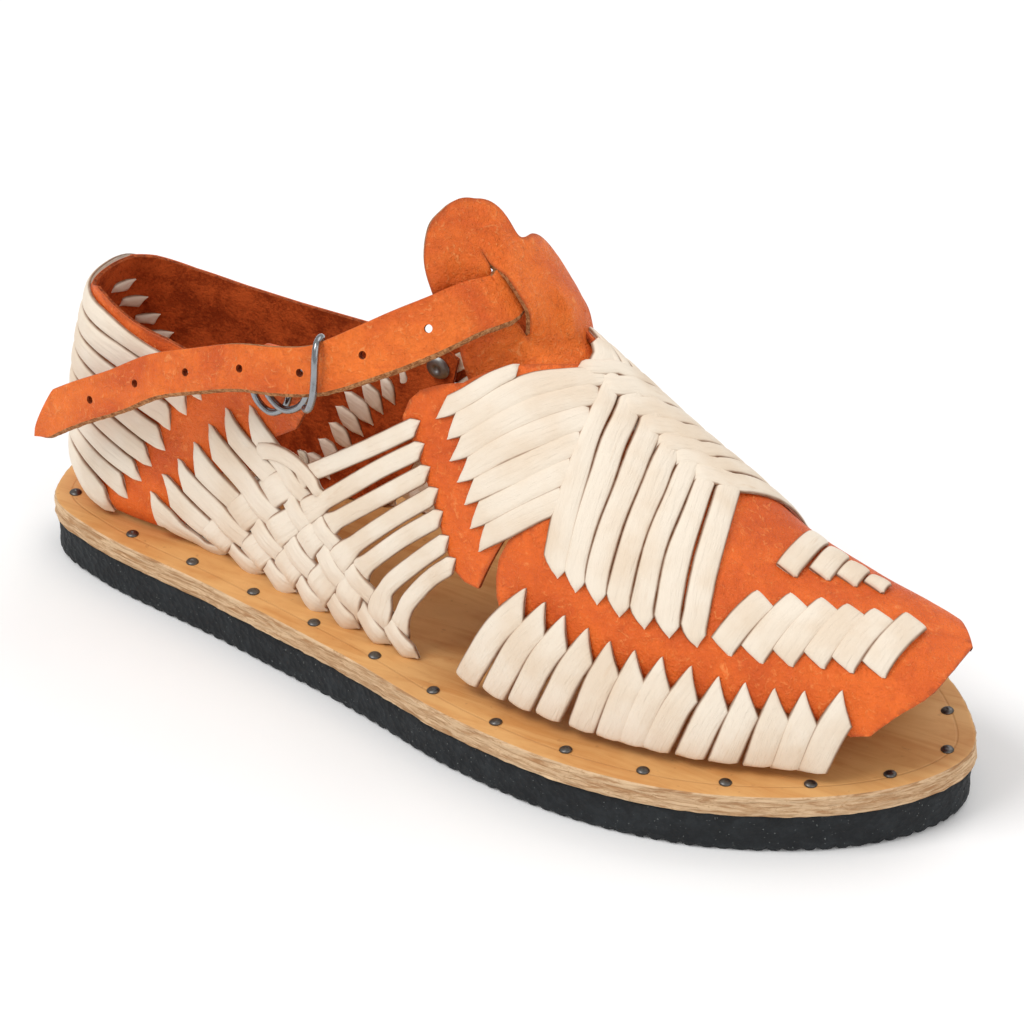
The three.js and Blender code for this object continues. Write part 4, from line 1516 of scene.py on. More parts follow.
    def ends_inside(self) -> None:
        """The thongs' leaf-shaped ends on the inner face of the counter."""
        draft = Draft()
        for mirrored in (False, True):
            for k, (root, tip) in enumerate((*self.petals_heel, *self.petals_side)):
                deep = self.sunk if mirrored and root[0] > 66 and root[1] < 62 else 0.0
                chart = Chart(inset=2.6 + deep, inside=True, mirrored=mirrored)
                middle = halfway(root, tip)
                run = Run.on(chart, [root, (middle[0] + 0.6, middle[1] + 0.8), tip], 1.0)
                stem = Tip(left=2.2, right=4.2, at=0.5, dip=0.6).turned(not mirrored)
                leaf = Tip(left=6.0, right=4.0, at=-0.3, dip=0.2).turned(not mirrored)
                number = Lot.INSIDE_ENDS.number(k, mirrored)
                Thong(run, 6.6, stem, leaf, 1.6, lambda d: -0.5, number).lay(draft)
        settle(draft.build("inside_ends", [self.finishes.thong]), "thong")


# ---------------------------------------------------------------- side weave
@dataclass
class SideWeave:
    """The woven side: seven thongs from the counter cross seven from the instep's facing."""

    finishes: Finishes
    mirrored: bool = False
    back: tuple[tuple[Spot, ...], ...] = (
        ((85.8, 70.8), (90, 67.4), (97.8, 61.8)),
        ((76.8, 66.6), (85.2, 60), (96.6, 53.6)),
        ((70.8, 59.4), (79.2, 53.0), (87.6, 47.0)),
        ((65.4, 52.2), (73.8, 44.8), (84, 39.0)),
        ((60, 45), (70.2, 37.2), (79.2, 32.0)),
        ((57, 37.8), (66, 30.2), (75.6, 25.0)),
        ((54, 31.2), (60, 24.2), (68, 20.6)),
    )
    back_feet: tuple[float, ...] = (151.5, 141.2, 129.6, 117.0, 104.2, 91.0, 77.4)
    front: tuple[tuple[Spot, ...], ...] = (
        ((148.8, 89.4), (130.8, 76.4), (113.4, 63.4)),
        ((151.2, 84), (136.2, 72.4), (124, 61.6)),
        ((154.2, 78.6), (138.6, 65.6), (123, 52.4)),
        ((157.8, 73.8), (144, 61.6), (133, 51.0)),
        ((160.2, 68.4), (145.2, 54.8), (132.6, 41.4)),
        ((163.2, 62.4), (153, 52.2), (143, 41.0)),
        ((166.2, 57), (158.5, 49.5), (150.5, 39.0)),
    )
    front_feet: tuple[float, ...] = (70.5, 84.4, 97.4, 110.6, 123.2, 135.4, 142.6)
    foot: float = 19.2

    def lines(self) -> tuple[list, list]:
        """Draws both families of thongs on the chart.

        Returns:
            The lines from the counter and those from the facing, each from tip to foot.
        """
        back = [self.line(rows, foot, (0.78 + 0.03 * i, -0.62 + 0.06 * i))
                for i, (rows, foot) in enumerate(zip(self.back, self.back_feet))]
        front = [self.line(rows, foot, (-0.55, -0.85)) for rows, foot in zip(self.front, self.front_feet)]
        return back, front

    def line(self, rows: Sequence[Spot], foot: float, low: Spot) -> list[Spot]:
        """One thong's line, which runs on from its upper part to the board in the direction low."""
        way = (rows[-1][0] - rows[-2][0], rows[-1][1] - rows[-2][1])
        return smooth_rows([*rows, *bend(rows[-1], way, (foot, self.foot), low, 6)], 1.0)

    @staticmethod
    def room(family: Sequence[Run], number: int) -> Callable[[float], float]:
        """Measures the room beside a thong.

        Args:
            family: the thongs that run side by side.
            number: the place of this one among them.

        Returns:
            The width at which it just meets its neighbours, by the distance along it.
        """
        run = family[number]
        beside = [family[k] for k in (number - 1, number + 1) if 0 <= k < len(family)]
        marks = []
        for k in range(0, len(run.points), 5):
            gaps = [min((run.points[k] - q).length for q in other.points) for other in beside]
            marks.append((run.places[k], clamp(0.97 * sum(gaps) / len(gaps), 6.8, 10.4)))
        return knots(marks)

    def build(self) -> None:
        """Makes the weave."""
        chart = Chart(mirrored=self.mirrored)
        back, front = self.lines()
        runs = [Run.along(chart, line) for line in back + front]
        heights: list[list[Spot]] = [[] for _ in runs]
        over, under = -0.75, -2.45
        for i, a in enumerate(back):
            for j, b in enumerate(front):
                hit = crossing(a, b)
                if hit is None:
                    continue
                for n, part, up in ((i, hit[0], (i + j) % 2 == 0), (len(back) + j, hit[1], (i + j) % 2 == 1)):
                    places = runs[n].places
                    k = min(int(part), len(places) - 2)
                    d = mix(places[k], places[k + 1], part - int(part))
                    heights[n].append((d, over if up else under))
        draft = Draft()
        for n, (run, marks) in enumerate(zip(runs, heights)):
            is_back = n < len(back)
            first = min((m[0] for m in marks), default=12.0)
            total = run.length
            family = runs[:len(back)] if is_back else runs[len(back):]
            room = self.room(family, n if is_back else n - len(back))
            marks = [(0.0, LEVEL), (max(first - 5.5, 1.0), LEVEL - 0.4), *marks, (total, -1.6)]

            def width(d: float) -> float:
                """The thong's width, which fills its room and is less at its foot."""
                grown = room(d) if is_back else mix(5.4, room(d), ease(d, first - 9, first - 2))
                return grown - 0.8 * ease(d, total - 5, total)

            start = Tip(left=3.4, right=2.0, at=-0.35, dip=0.7)
            if is_back:
                start = Tip(left=1.8, right=7.5, at=0.75, dip=0.8)
            start = start.turned(self.mirrored)
            end = Tip(left=3.0, right=3.0, at=0.0, dip=1.2, over=3.5)
            number = Lot.SIDE_WEAVE.number(n, self.mirrored)
            Thong(run, width, start, end, 1.7, knots(marks), number).lay(draft)
        run = Run.on(chart, ((90.5, 60.2), (97, 62.8), (105, 63.4), (112, 61.4), (118, 57.6)), 1.0)
        Thong(run, 5.6, Tip(left=3, right=3, dip=1.6), Tip(left=5, right=2, dip=1.6), 1.7,
              lambda d: -0.35, Lot.TOP_STRIP.number(int(self.mirrored))).lay(draft)
        name = "side_weave_medial" if self.mirrored else "side_weave_lateral"
        settle(draft.build(name, [self.finishes.thong]), "thong")


# ---------------------------------------------------------------- instep
@dataclass
class Instep:
    """The facings beside the throat and the seven thongs that run up each to the ridge."""

    finishes: Finishes
    facing: tuple[Spot, ...] = (
        (-13.6, 36.6), (-12.4, 41), (-9.6, 45), (-3.5, 50.5), (2, 55), (8, 64), (14, 72), (22, 82),
        (28, 89.5), (34, 84), (37, 70), (38, 58), (34, 49), (29, 39), (24, 30.5), (21.5, 25), (17.8, 17.2),
        (13, 16.6), (8.6, 17.4), (4, 22), (-1, 27), (-6, 31.5), (-10.5, 34.5),
    )
    # lower edge of each thong from its tip to the ridge
    edges: tuple[tuple[Spot, ...], ...] = (
        ((-3.5, 42), (2.0, 46.4), (8.5, 55), (13.5, 64.5), (17.0, 71)),
        ((-0.5, 39), (5, 42.9), (10.5, 50), (16.5, 59.5), (21.5, 68.5), (26.5, 77), (31, 84)),
        ((2.5, 36), (8.5, 40.5), (14.5, 48.5), (20.5, 57.5), (26, 66.5), (32.5, 77.5)),
        ((6.5, 33.5), (12, 37.5), (19, 46), (25.5, 54.5), (31, 63.5), (34.5, 70)),
        ((9, 30), (15, 34.5), (23.5, 43.5), (29.5, 52), (36, 62.5)),
        ((12, 26.5), (17.5, 30.5), (25.5, 39), (32, 47), (37.5, 55)),
        ((16, 23.6), (19.5, 26.5), (24.5, 31), (31, 38.5), (38, 46.6)),
    )
    top_edge: tuple[Spot, ...] = ((-5.0, 44.5), (-2.5, 48), (2.0, 53.5), (8, 63.5), (13, 71.5))
    second_top: tuple[Spot, ...] = ((-1, 41), (2.0, 46.8), (8.5, 55.4), (13.5, 64.9), (18.5, 74), (24, 81.5),
                                    (29.5, 89))
    shrink: float = 0.925

    def build(self) -> None:
        """Makes both sides of the instep."""
        for mirrored in (False, True):
            side = "medial" if mirrored else "lateral"
            draft = Draft()
            chart = Chart(Way.TURN, mirrored=mirrored)
            sheet = Leather(on_chart(chart), self.facing, top=-1.0, thick=1.5, grid=(2.4, 2.8), smooth=False)
            sheet.lay(draft)
            piece = draft.build(f"facing_{side}", self.finishes.lined(), 55)
            settle(piece, "tan_leather")
            draft = Draft()
            tops = (self.top_edge, self.second_top, *self.edges[1:])
            for k, (low, above) in enumerate(zip(self.edges, tops)):
                self.thong(draft, chart, k, low, above)
            settle(draft.build(f"instep_thongs_{side}", [self.finishes.thong]), "thong")

    def thong(self, draft: Draft, chart: Chart, k: int, low: Sequence[Spot], above: Sequence[Spot]) -> None:
        """Lays one thong.

        Args:
            draft: the piece.
            chart: the chart of the foot's side.
            k: the thong's place from the throat down.
            low: its lower edge.
            above: its upper edge.
        """
        a = Run.on(chart, low, 1.0)
        b = Run.on(chart, above, 1.0)
        points, normals, widths = [], [], []
        steps = 26
        for n in range(steps + 1):
            p, n0, _ = a.at(a.length * n / steps)
            start = 0.0 if k == 0 else 3.2
            q, n1, _ = b.at(mix(start, b.length, n / steps))
            points.append((p + q) / 2)
            normals.append((n0 + n1).normalized())
            widths.append((q - p).length)
        if k:
            points.append(points[-1] + (points[-1] - points[-4]).normalized() * 3.5 - normals[-1] * 1.0)
            normals.append(normals[-1])
            widths.append(widths[-1])
            steps += 1
        run = Run(points, normals)

        def width(d: float) -> float:
            """The width between the two edges."""
            t = clamp(d / run.length * steps, 0, steps - 1e-6)
            return mix(widths[int(t)], widths[int(t) + 1], t - int(t)) * self.shrink

        tip = Tip(left=5.6, right=0.4, at=-0.92, dip=0.7, over=2.5).turned(chart.mirrored)
        end = (Tip(left=0.6, right=3.5, at=0.9, dip=1.5) if k == 0 else Tip(dip=0.5)).turned(chart.mirrored)
        number = Lot.INSTEP.number(k, chart.mirrored)
        Thong(run, width, tip, end, 1.6, number=number).lay(draft)


# ---------------------------------------------------------------- toe
@dataclass
class Toe:
    """The toe's leather with its fan, plaited ridge, lacing and fringe of thongs."""

    finishes: Finishes
    vamp: tuple[Spot, ...] = (
        (37, 46), (31.5, 39), (25.6, 31.5), (23.4, 26), (23.2, 22), (24.0, 18), (26, 15.6), (34, 15),
        (60, 17),
        (80, 19), (100, 21), (114, 21), (121, 17.5), (125.5, 15.6), (130.4, 17.8), (134, 26), (136.8, 33.4),
        (139.6, 41), (141.7, 48.3), (143.4, 58), (144.2, 68), (144.7, 84), (144.4, 97),
    )
    vamp_rear: tuple[Spot, ...] = ((36, 56), (34, 72), (31, 90))
    # borders between the fan's thongs, from the ridge to the tips
    fan: tuple[tuple[Spot, ...], ...] = (
        ((29.5, 90), (31.5, 84), (34.2, 70), (35.6, 58), (36.6, 48), (37.4, 41.5), (37.4, 38)),
        ((32.6, 92), (36.6, 85), (39.2, 72), (41.5, 60), (42.8, 45), (43.2, 37.5), (43.5, 35.4)),
        ((39.6, 92.4), (43.2, 85.5), (45.6, 76), (47.5, 66), (48.6, 50), (49.4, 39), (50, 36.2)),
        ((45.8, 92.4), (49.8, 86.6), (51.8, 78), (53.2, 70), (54.8, 54), (55.6, 42), (56, 36.8)),
        ((51.6, 93), (55.8, 87.6), (57.6, 81), (59, 75), (61, 56), (62.4, 44), (63, 37.2)),
        ((57.2, 95), (61.2, 89), (63, 83.5), (65, 74), (67, 57), (69.2, 43), (70, 37.6)),
        ((62.8, 96), (66.2, 90), (68.2, 84), (71, 74), (73.6, 61), (76.4, 46), (77.5, 39)),
        ((69.5, 94.5), (73.8, 88.6), (76.8, 82), (79.4, 73), (81.4, 63), (83.2, 50), (84.4, 39.4)),
    )
    tips: tuple[Spot, ...] = ((41.5, 31.5), (47.5, 31.4), (54, 31.8), (60.5, 32), (68, 32.6), (75, 34),
                              (82.5, 35.6))
    lacing_near: tuple[tuple[Spot, Spot], ...] = (
        ((88.5, 39), (94.5, 67)), ((96.5, 40.5), (102, 73.5)), ((104, 43), (109.5, 78.5)),
        ((111.5, 46.5), (116, 82)), ((119, 48), (122.5, 86)), ((127, 51), (129.5, 90.5)),
    )
    lacing_far: tuple[tuple[Spot, Spot], ...] = (
        ((94.5, 82), (93.5, 111)), ((101.5, 88), (100.5, 109)), ((108, 90.5), (107.5, 107)),
        ((114.5, 94.5), (114.5, 105.5)),
    )
    fringe_tops: tuple[Spot, ...] = (
        (36, 23), (42.6, 23.2), (49.2, 23.2), (56.4, 23.7), (63.4, 23.8), (70.6, 24.8), (78, 26.5),
        (85.8, 27.4),
        (93.4, 27.4), (100.5, 28), (108, 28.6), (115.4, 30), (124.5, 33.4),
    )
    fringe_feet: tuple[float, ...] = (15, 24.6, 33.6, 43, 53.6, 62, 68.2, 75, 84.4, 93.4, 102.2, 109, 115.8)

    def build(self) -> None:
        """Makes the toe's pieces."""
        self.leather()
        self.fanned()
        self.laced()
        self.fringed()

    def leather(self) -> None:
        """The sheet over the toes."""
        # the medial side of the toe is cut further back
        far = [(x - 8 * ease(180 - t, 95, 122), 180 - t) for x, t in reversed(self.vamp)]
        rear = [*self.vamp_rear, *((x, 180 - t) for x, t in reversed(self.vamp_rear[:-1]))]
        outline = [*self.vamp, *far[1:], *reversed(rear)]
        sheet = Leather(on_chart(TOP), outline, top=-1.0, thick=1.6, grid=(2.8, 3.2), step=1.3, smooth=False)
        draft = Draft()
        sheet.lay(draft, lambda u, v: 0.8 * noise.noise(Vector((u * 0.035, v * 0.03, 1.0))))
        piece = draft.build("toe_leather", self.finishes.lined(), 55)
        settle(piece, "tan_leather")

    def fanned(self) -> None:
        """The fan of thongs on both sides, which plait together along the ridge."""
        draft = Draft()
        for mirrored in (False, True):
            chart = Chart(Way.TURN, mirrored=mirrored)
            for k, (a, b, tip) in enumerate(zip(self.fan, self.fan[1:], self.tips)):
                middle = [halfway(p, q) for p, q in zip(a, b)]
                lines = [Run.on(chart, rows, 1.0) for rows in (a, b)]
                if mirrored:
                    # these cross the ridge, on top of the other side's
                    x = middle[1][0]
                    middle = [(x - 9.5, 96.5), (x - 4.6, 91.5), *middle[1:]]
                run = Run.on(chart, [*middle, tip], 1.0)

                def width(d: float) -> float:
                    """The width between the thong's two borders.

                    Args:
                        d: the distance along the thong.

                    Returns:
                        The width.
                    """
                    t = clamp(d / run.length, 0, 1)
                    p, q = (line.at(line.length * t)[0] for line in lines)
                    return clamp((q - p).length, 5.4, 7.4) * 0.98

                out = Tip(left=2.8, right=5.6, at=0.12, dip=0.8, over=2.5).turned(mirrored)
                top = Tip(left=1.2, right=2.4, at=0.3, dip=1.9, over=4.5).turned(mirrored)

                def lift(d: float) -> float:
                    """The thong's height, more where it crosses the ridge."""
                    return LEVEL + (0.5 * (1 - ease(d, 8, 22)) if mirrored else 0.15)

                Thong(run, width, top, out, 1.6, lift, Lot.FAN.number(k, mirrored)).lay(draft)
        run = Run.on(TOP, [(22.5, 100), (26.5, 93), (30.4, 84)], 1.0)
        end = Tip(left=7, right=2, at=-0.6, dip=0.8)
        Thong(run, 7.5, Tip(left=3, right=3), end, 1.5, number=Lot.THROAT.number(0)).lay(draft)
        settle(draft.build("fan_thongs", [self.finishes.thong]), "thong")

    def laced(self) -> None:
        """The short thongs laced through the toe's leather."""
        draft = Draft()
        for mirrored in (False, True):
            chart = Chart(Way.TURN, mirrored=mirrored)
            pairs = self.lacing_near
            if mirrored:
                pairs = [((b[0], 180 - b[1]), (a[0], 180 - a[1])) for a, b in self.lacing_far]
            for k, (a, b) in enumerate(pairs):
                run = Run.on(chart, [a, halfway(a, b), b], 1.0)

                def bulge(d: float) -> float:
                    """The thong's height, most at its middle."""
                    return LEVEL + 0.35 * math.sin(math.pi * d / run.length)

                low = Tip(left=1.2, right=0.3, at=-0.7, dip=0.7, over=2.0)
                high = Tip(left=0.3, right=0.8, at=0.7, dip=0.7, over=2.0)
                width = 6.9 if mirrored else 7.9
                Thong(run, width, low, high, 1.6, bulge, Lot.LACING.number(k, mirrored)).lay(draft)
        settle(draft.build("toe_lacing", [self.finishes.thong]), "thong")

    def fringed(self) -> None:
        """The thongs that hold the toe's leather down to the board."""
        draft = Draft()
        for mirrored in (False, True):
            chart = Chart(Way.TURN, mirrored=mirrored)
            for k, (top, foot) in enumerate(zip(self.fringe_tops, self.fringe_feet)):
                x, turn = top
                rows = [top, (mix(x, foot, 0.4), turn * 0.62), (mix(x, foot, 0.75), turn * 0.24), (foot, 0.7)]
                run = Run.on(chart, rows, 0.8)

                def bulge(d: float) -> float:
                    """The thong's height, most at its middle."""
                    return LEVEL + 0.9 * math.sin(math.pi * clamp(d / run.length, 0, 1)) ** 0.8

                start = Tip(left=5.8, right=0.5, at=-0.92, dip=0.5, over=2.5).turned(mirrored)
                end = Tip(left=2.8, right=0.4, at=-0.85, dip=1.0, over=2.5).turned(mirrored)
                Thong(run, 8.3, start, end, 1.9, bulge, Lot.FRINGE.number(k, mirrored)).lay(draft)
        settle(draft.build("toe_fringe", [self.finishes.thong]), "thong")


# ---------------------------------------------------------------- instep tab
@dataclass
class Tab:
    """The leather tab over the instep, with the slot that the strap comes out of."""

    finishes: Finishes
    x: float = 20.0
    z: float = 105.5
    slope: float = 1.25
    middle: float = 9.0
    lateral: float = 34.0
    medial: float = 22.0
    lean: float = 1.6
    lift: float = 3.2
    dip: float = -3.0
    crossing: float = 4.6
    slot_line: float = -2.7
    wall: float = 2.6
    outline: tuple[Spot, ...] = (
        (29.5, -10.8), (24, -13), (14, -18), (5, -20), (-2, -18.6), (-9.5, -17.6), (-13.6, -15.6),
        (-14.9, -11),
        (-13.6, -5.5), (-11.8, 0.4), (-9.8, 4.4), (-7.4, 7.8), (-3.6, 8.8), (0.1, 8.8), (0.8, 10.6),
        (0.7, 14.5),
        (1.4, 19), (3.6, 23), (7, 24.8), (10, 23.6), (12.4, 21.4), (15, 20.8), (19, 22.6), (24, 25),
        (29.5, 25),
    )
    slot: tuple[Spot, ...] = (
        (-3.4, -2.8), (-1.2, -3.0), (1, -3.2), (5, -3.6), (9, -3.3), (11.4, -2.8), (9, -2.3), (5, -2.2),
        (1, -2.4),
        (-1.2, -2.7),
    )
    throat: tuple[Spot, ...] = ((-33, 64.5), (-13, 86.5), (-12.5, 92), (-9, 98), (-2, 101.5), (13, 106.6),
                                (21, 105.8), (32, 112))

    def arch(self, x: float, y: float) -> float:
        """The sheet's arch.

        Args:
            x: the place along the sandal.
            y: the place across it.

        Returns:
            The height there.
        """
        off = y - self.middle
        radius = self.lateral if off < 0 else self.medial
        return self.z + (self.x - x) * self.slope - self.lean * (radius - math.sqrt(radius**2 - off**2))

    def last_height(self, x: float, y: float, inset: float) -> float:
        """Height of the last.

        Args:
            x: the place along it.
            y: the place across it.
            inset: how far inside the last.

        Returns:
            The height of its top there.
        """
        s = LAST.section(x)
        half = (s.ridge - s.lateral if y < s.ridge else s.medial - s.ridge) - inset
        side = min(abs(y - s.ridge) / half, 0.995)
        turn = math.acos(side ** (s.power / 2))
        return LAST.board_top + LAST.crown(s, inset) * math.sin(turn) ** (2 / s.power)

    def throat_height(self, x: float) -> float:
        """Height of the throat's edge."""
        return read_table(self.throat, x)

    def height(self, x: float, y: float) -> float:
        """The sheet's height.

        Args:
            x: the place along the sandal.
            y: the place across it.

        Returns:
            The height of the sheet, under the wall where it runs in below the weave.
        """
        arch = self.arch(x, y)
        under = min(arch, self.last_height(x, y, self.wall) - 0.7)
        covered = ease(self.throat_height(x) - self.last_height(x, y, 0), -6, -1.5)
        return mix(arch, under, covered if y < self.middle else ease(x, 15, 20))

    def place(self, x: float, y: float) -> tuple[Vector, Vector]:
        """The sheet's point and face at a place seen from above.

        Args:
            x: the place along the sandal.
            y: the place across it.

        Returns:
            The point, raised beside the slot where the strap passes under it, and the upward direction.
        """
        face = facing_up(self.height, x, y)
        away = ease(abs(y - self.slot_line), 0.5, 9)
        inner, outer = (4.4, 7.9) if x > self.crossing else (1.6, 5.4)
        near = 1 - ease(abs(x - self.crossing), mix(inner, 9, away), mix(outer, 16, away))
        up = self.lift * (1 - 0.3 * away) if y > self.slot_line else self.dip
        return Vector((x, y, self.height(x, y))) + face * near * up, face

    def build(self) -> None:
        """Makes the tab."""
        sheet = Leather(self.place, self.outline, top=0.0, thick=2.2, grid=(1.8, 1.8), holes=(self.slot,),
                        step=0.8)
        draft = Draft()
        sheet.lay(draft, lambda u, v: 0.25 * noise.noise(Vector((u * 0.12, v * 0.12, 5))), 0.3)
        finishes = [self.finishes.strap, self.finishes.raw, self.finishes.suede]
        settle(draft.build("instep_tab_leather", finishes, 55), "tan_leather", "instep_tab")


# ---------------------------------------------------------------- ankle strap
@dataclass
class Strap:
    """The ankle strap, from the medial rivet under the tab, through the slot and the buckle."""

    finishes: Finishes
    tab: Tab
    thick: float = 2.4
    hole_count: int = 7
    first_hole: float = 127.0
    hole_pitch: float = 20.0
    hole_radius: float = 1.15
    hole_reach: float = 12.0
    tip_length: float = 14.0
    # x, y, z, the tilt of the upper edge in over the foot in degrees, and the width
    medial: tuple[Row, ...] = (
        (-44, 34.2, 63.5, 0, 13), (-36.5, 33.6, 70, 0, 13.8), (-24, 34.4, 80, 0, 14.4),
        (-10, 33.6, 92, 0, 14.4),
    )
    behind: tuple[Spot, ...] = ((5.4, 28), (8, 23), (9.4, 17), (7.6, 9), (5.4, 1.6))
    behind_inset: float = 1.5
    behind_tilt: float = 38.0
    behind_width: float = 13.2
    lateral: tuple[Row, ...] = (
        (4.5, -3.8, 119.3, 38, 14.2), (1.9, -9, 119, 38, 15), (-1, -13.6, 118.7, 36, 15.4),
        (-6.8, -21.3, 116.1, 33, 16), (-14.6, -26, 111.8, 30, 16.4), (-25, -29.6, 105.8, 25, 15.6),
        (-38, -33, 99, 18, 14.2), (-49, -33.9, 96, 18, 13.8), (-63, -33.4, 93, 18, 13.4),
        (-77, -32.6, 87.6, 20, 13), (-91.5, -32, 81.4, 20, 12.8), (-106, -31, 71.8, 14, 12.8),
        (-120.5, -29.6, 63, 12, 12.8), (-138, -28, 51, 10, 12.8),
    )
    # its section, as parts of half its width and thickness, and the finish after each corner
    PROFILE = ((1, 0.72), (0.955, 0.98), (0.5, 1.0), (0.0, 1.03), (-0.5, 1.0), (-0.84, 0.98), (-0.92, 0.7),
               (-1, -0.2), (-0.98, -1), (0, -1), (0.96, -1), (1, -0.8))
    COATS = (0, 0, 0, 0, 0, 1, 1, 1, 2, 2, 2, 1)

    def rows(self) -> list[Row]:
        """Joins the centre line's three stretches.

        Returns:
            Its places from the rivet to the tip, each with the strap's tilt and width.
        """
        under = []
        for x, y in self.behind:
            p = Vector((x, y, self.tab.arch(x, y))) - facing_up(self.tab.arch, x, y) * self.behind_inset
            under.append((*p, self.behind_tilt, self.behind_width))
        return [*self.medial, *under, *self.lateral]

    def lie(self) -> tuple[Run, list[float]]:
        """Lays the strap along its centre line.

        Returns:
            The run, whose faces point along the strap's width, and the width at each of its points.
        """
        line = smooth_rows(self.rows(), 1.6)
        points = [Vector(p[:3]) for p in line]
        wides = []
        for k, p in enumerate(line):
            way = (points[min(k + 1, len(points) - 1)] - points[max(k - 1, 0)]).normalized()
            wide = (Vector((0, 0, 1)) - way * way.z).normalized()
            wides.append(Quaternion(way, math.radians(p[3])) @ wide)
        return Run(points, wides), [p[4] for p in line]

    def build(self) -> None:
        """Makes the strap with its punched holes."""
        run, widths = self.lie()
        draft = Draft()
        rings = []
        count = math.ceil(run.length / 1.3)
        for n in range(count + 1):
            d = run.length * n / count
            p, wide, way = run.at(d)
            face = wide.cross(way).normalized()
            left = min(1.0, (run.length - d) / self.tip_length)
            width = widths[min(bisect.bisect_left(run.places, d), len(widths) - 1)]
            up = width / 2 * (1 - 1.58 * (1 - left**0.7))
            down = width / 2 * min(1.0, 0.62 + left)
            fray = 0.22 * noise.noise(Vector((d * 0.5, 1, 0))) + 0.12 * noise.noise(Vector((d * 1.7, 5, 0)))
            half = self.thick / 2
            ring = []
            for s, h in self.PROFILE:
                across = mix(-down, up, (s + 1) / 2) + (fray * abs(s) ** 4 if s < 0 else 0)
                ring.append(draft.add(p + wide * across + face * h * half, (d, s * width / 2),
                                      1.0 if abs(s) > 0.99 else 0.0))
            rings.append(ring)
        draft.tube(rings, coat=lambda j: self.COATS[j])
        finishes = [self.finishes.strap, self.finishes.raw, self.finishes.suede]
        piece = draft.build("ankle_strap_leather", finishes, 50)
        self.punch(piece, run)
        settle(piece, "tan_leather", "ankle_strap")

    def punch(self, piece: bpy.types.Object, run: Run) -> None:
        """Punches the round holes along the strap.

        Args:
            piece: the strap.
            run: its centre line.
        """
        holes = []
        for k in range(self.hole_count):
            p, wide, way = run.at(self.first_hole + k * self.hole_pitch)
            face = wide.cross(way).normalized()
            choose()
            bpy.ops.mesh.primitive_cylinder_add(vertices=20, radius=self.hole_radius * MM,
                                                depth=self.hole_reach * MM)
            pin = bpy.context.active_object
            turn = Vector((0, 0, 1)).rotation_difference(face).to_matrix().to_4x4()
            pin.data.transform(Matrix.Translation(p * MM) @ turn)
            pin.data.materials.append(self.finishes.rim)
            holes.append(pin)
        choose(*holes)
        bpy.ops.object.join()
        pins = holes[0]
        choose(piece)
        cut = piece.modifiers.new("holes", "BOOLEAN")
        cut.operation, cut.object, cut.solver = "DIFFERENCE", pins, "EXACT"
        cut.material_mode = "TRANSFER"
        bpy.ops.object.modifier_apply(modifier=cut.name)
        bpy.data.objects.remove(pins)


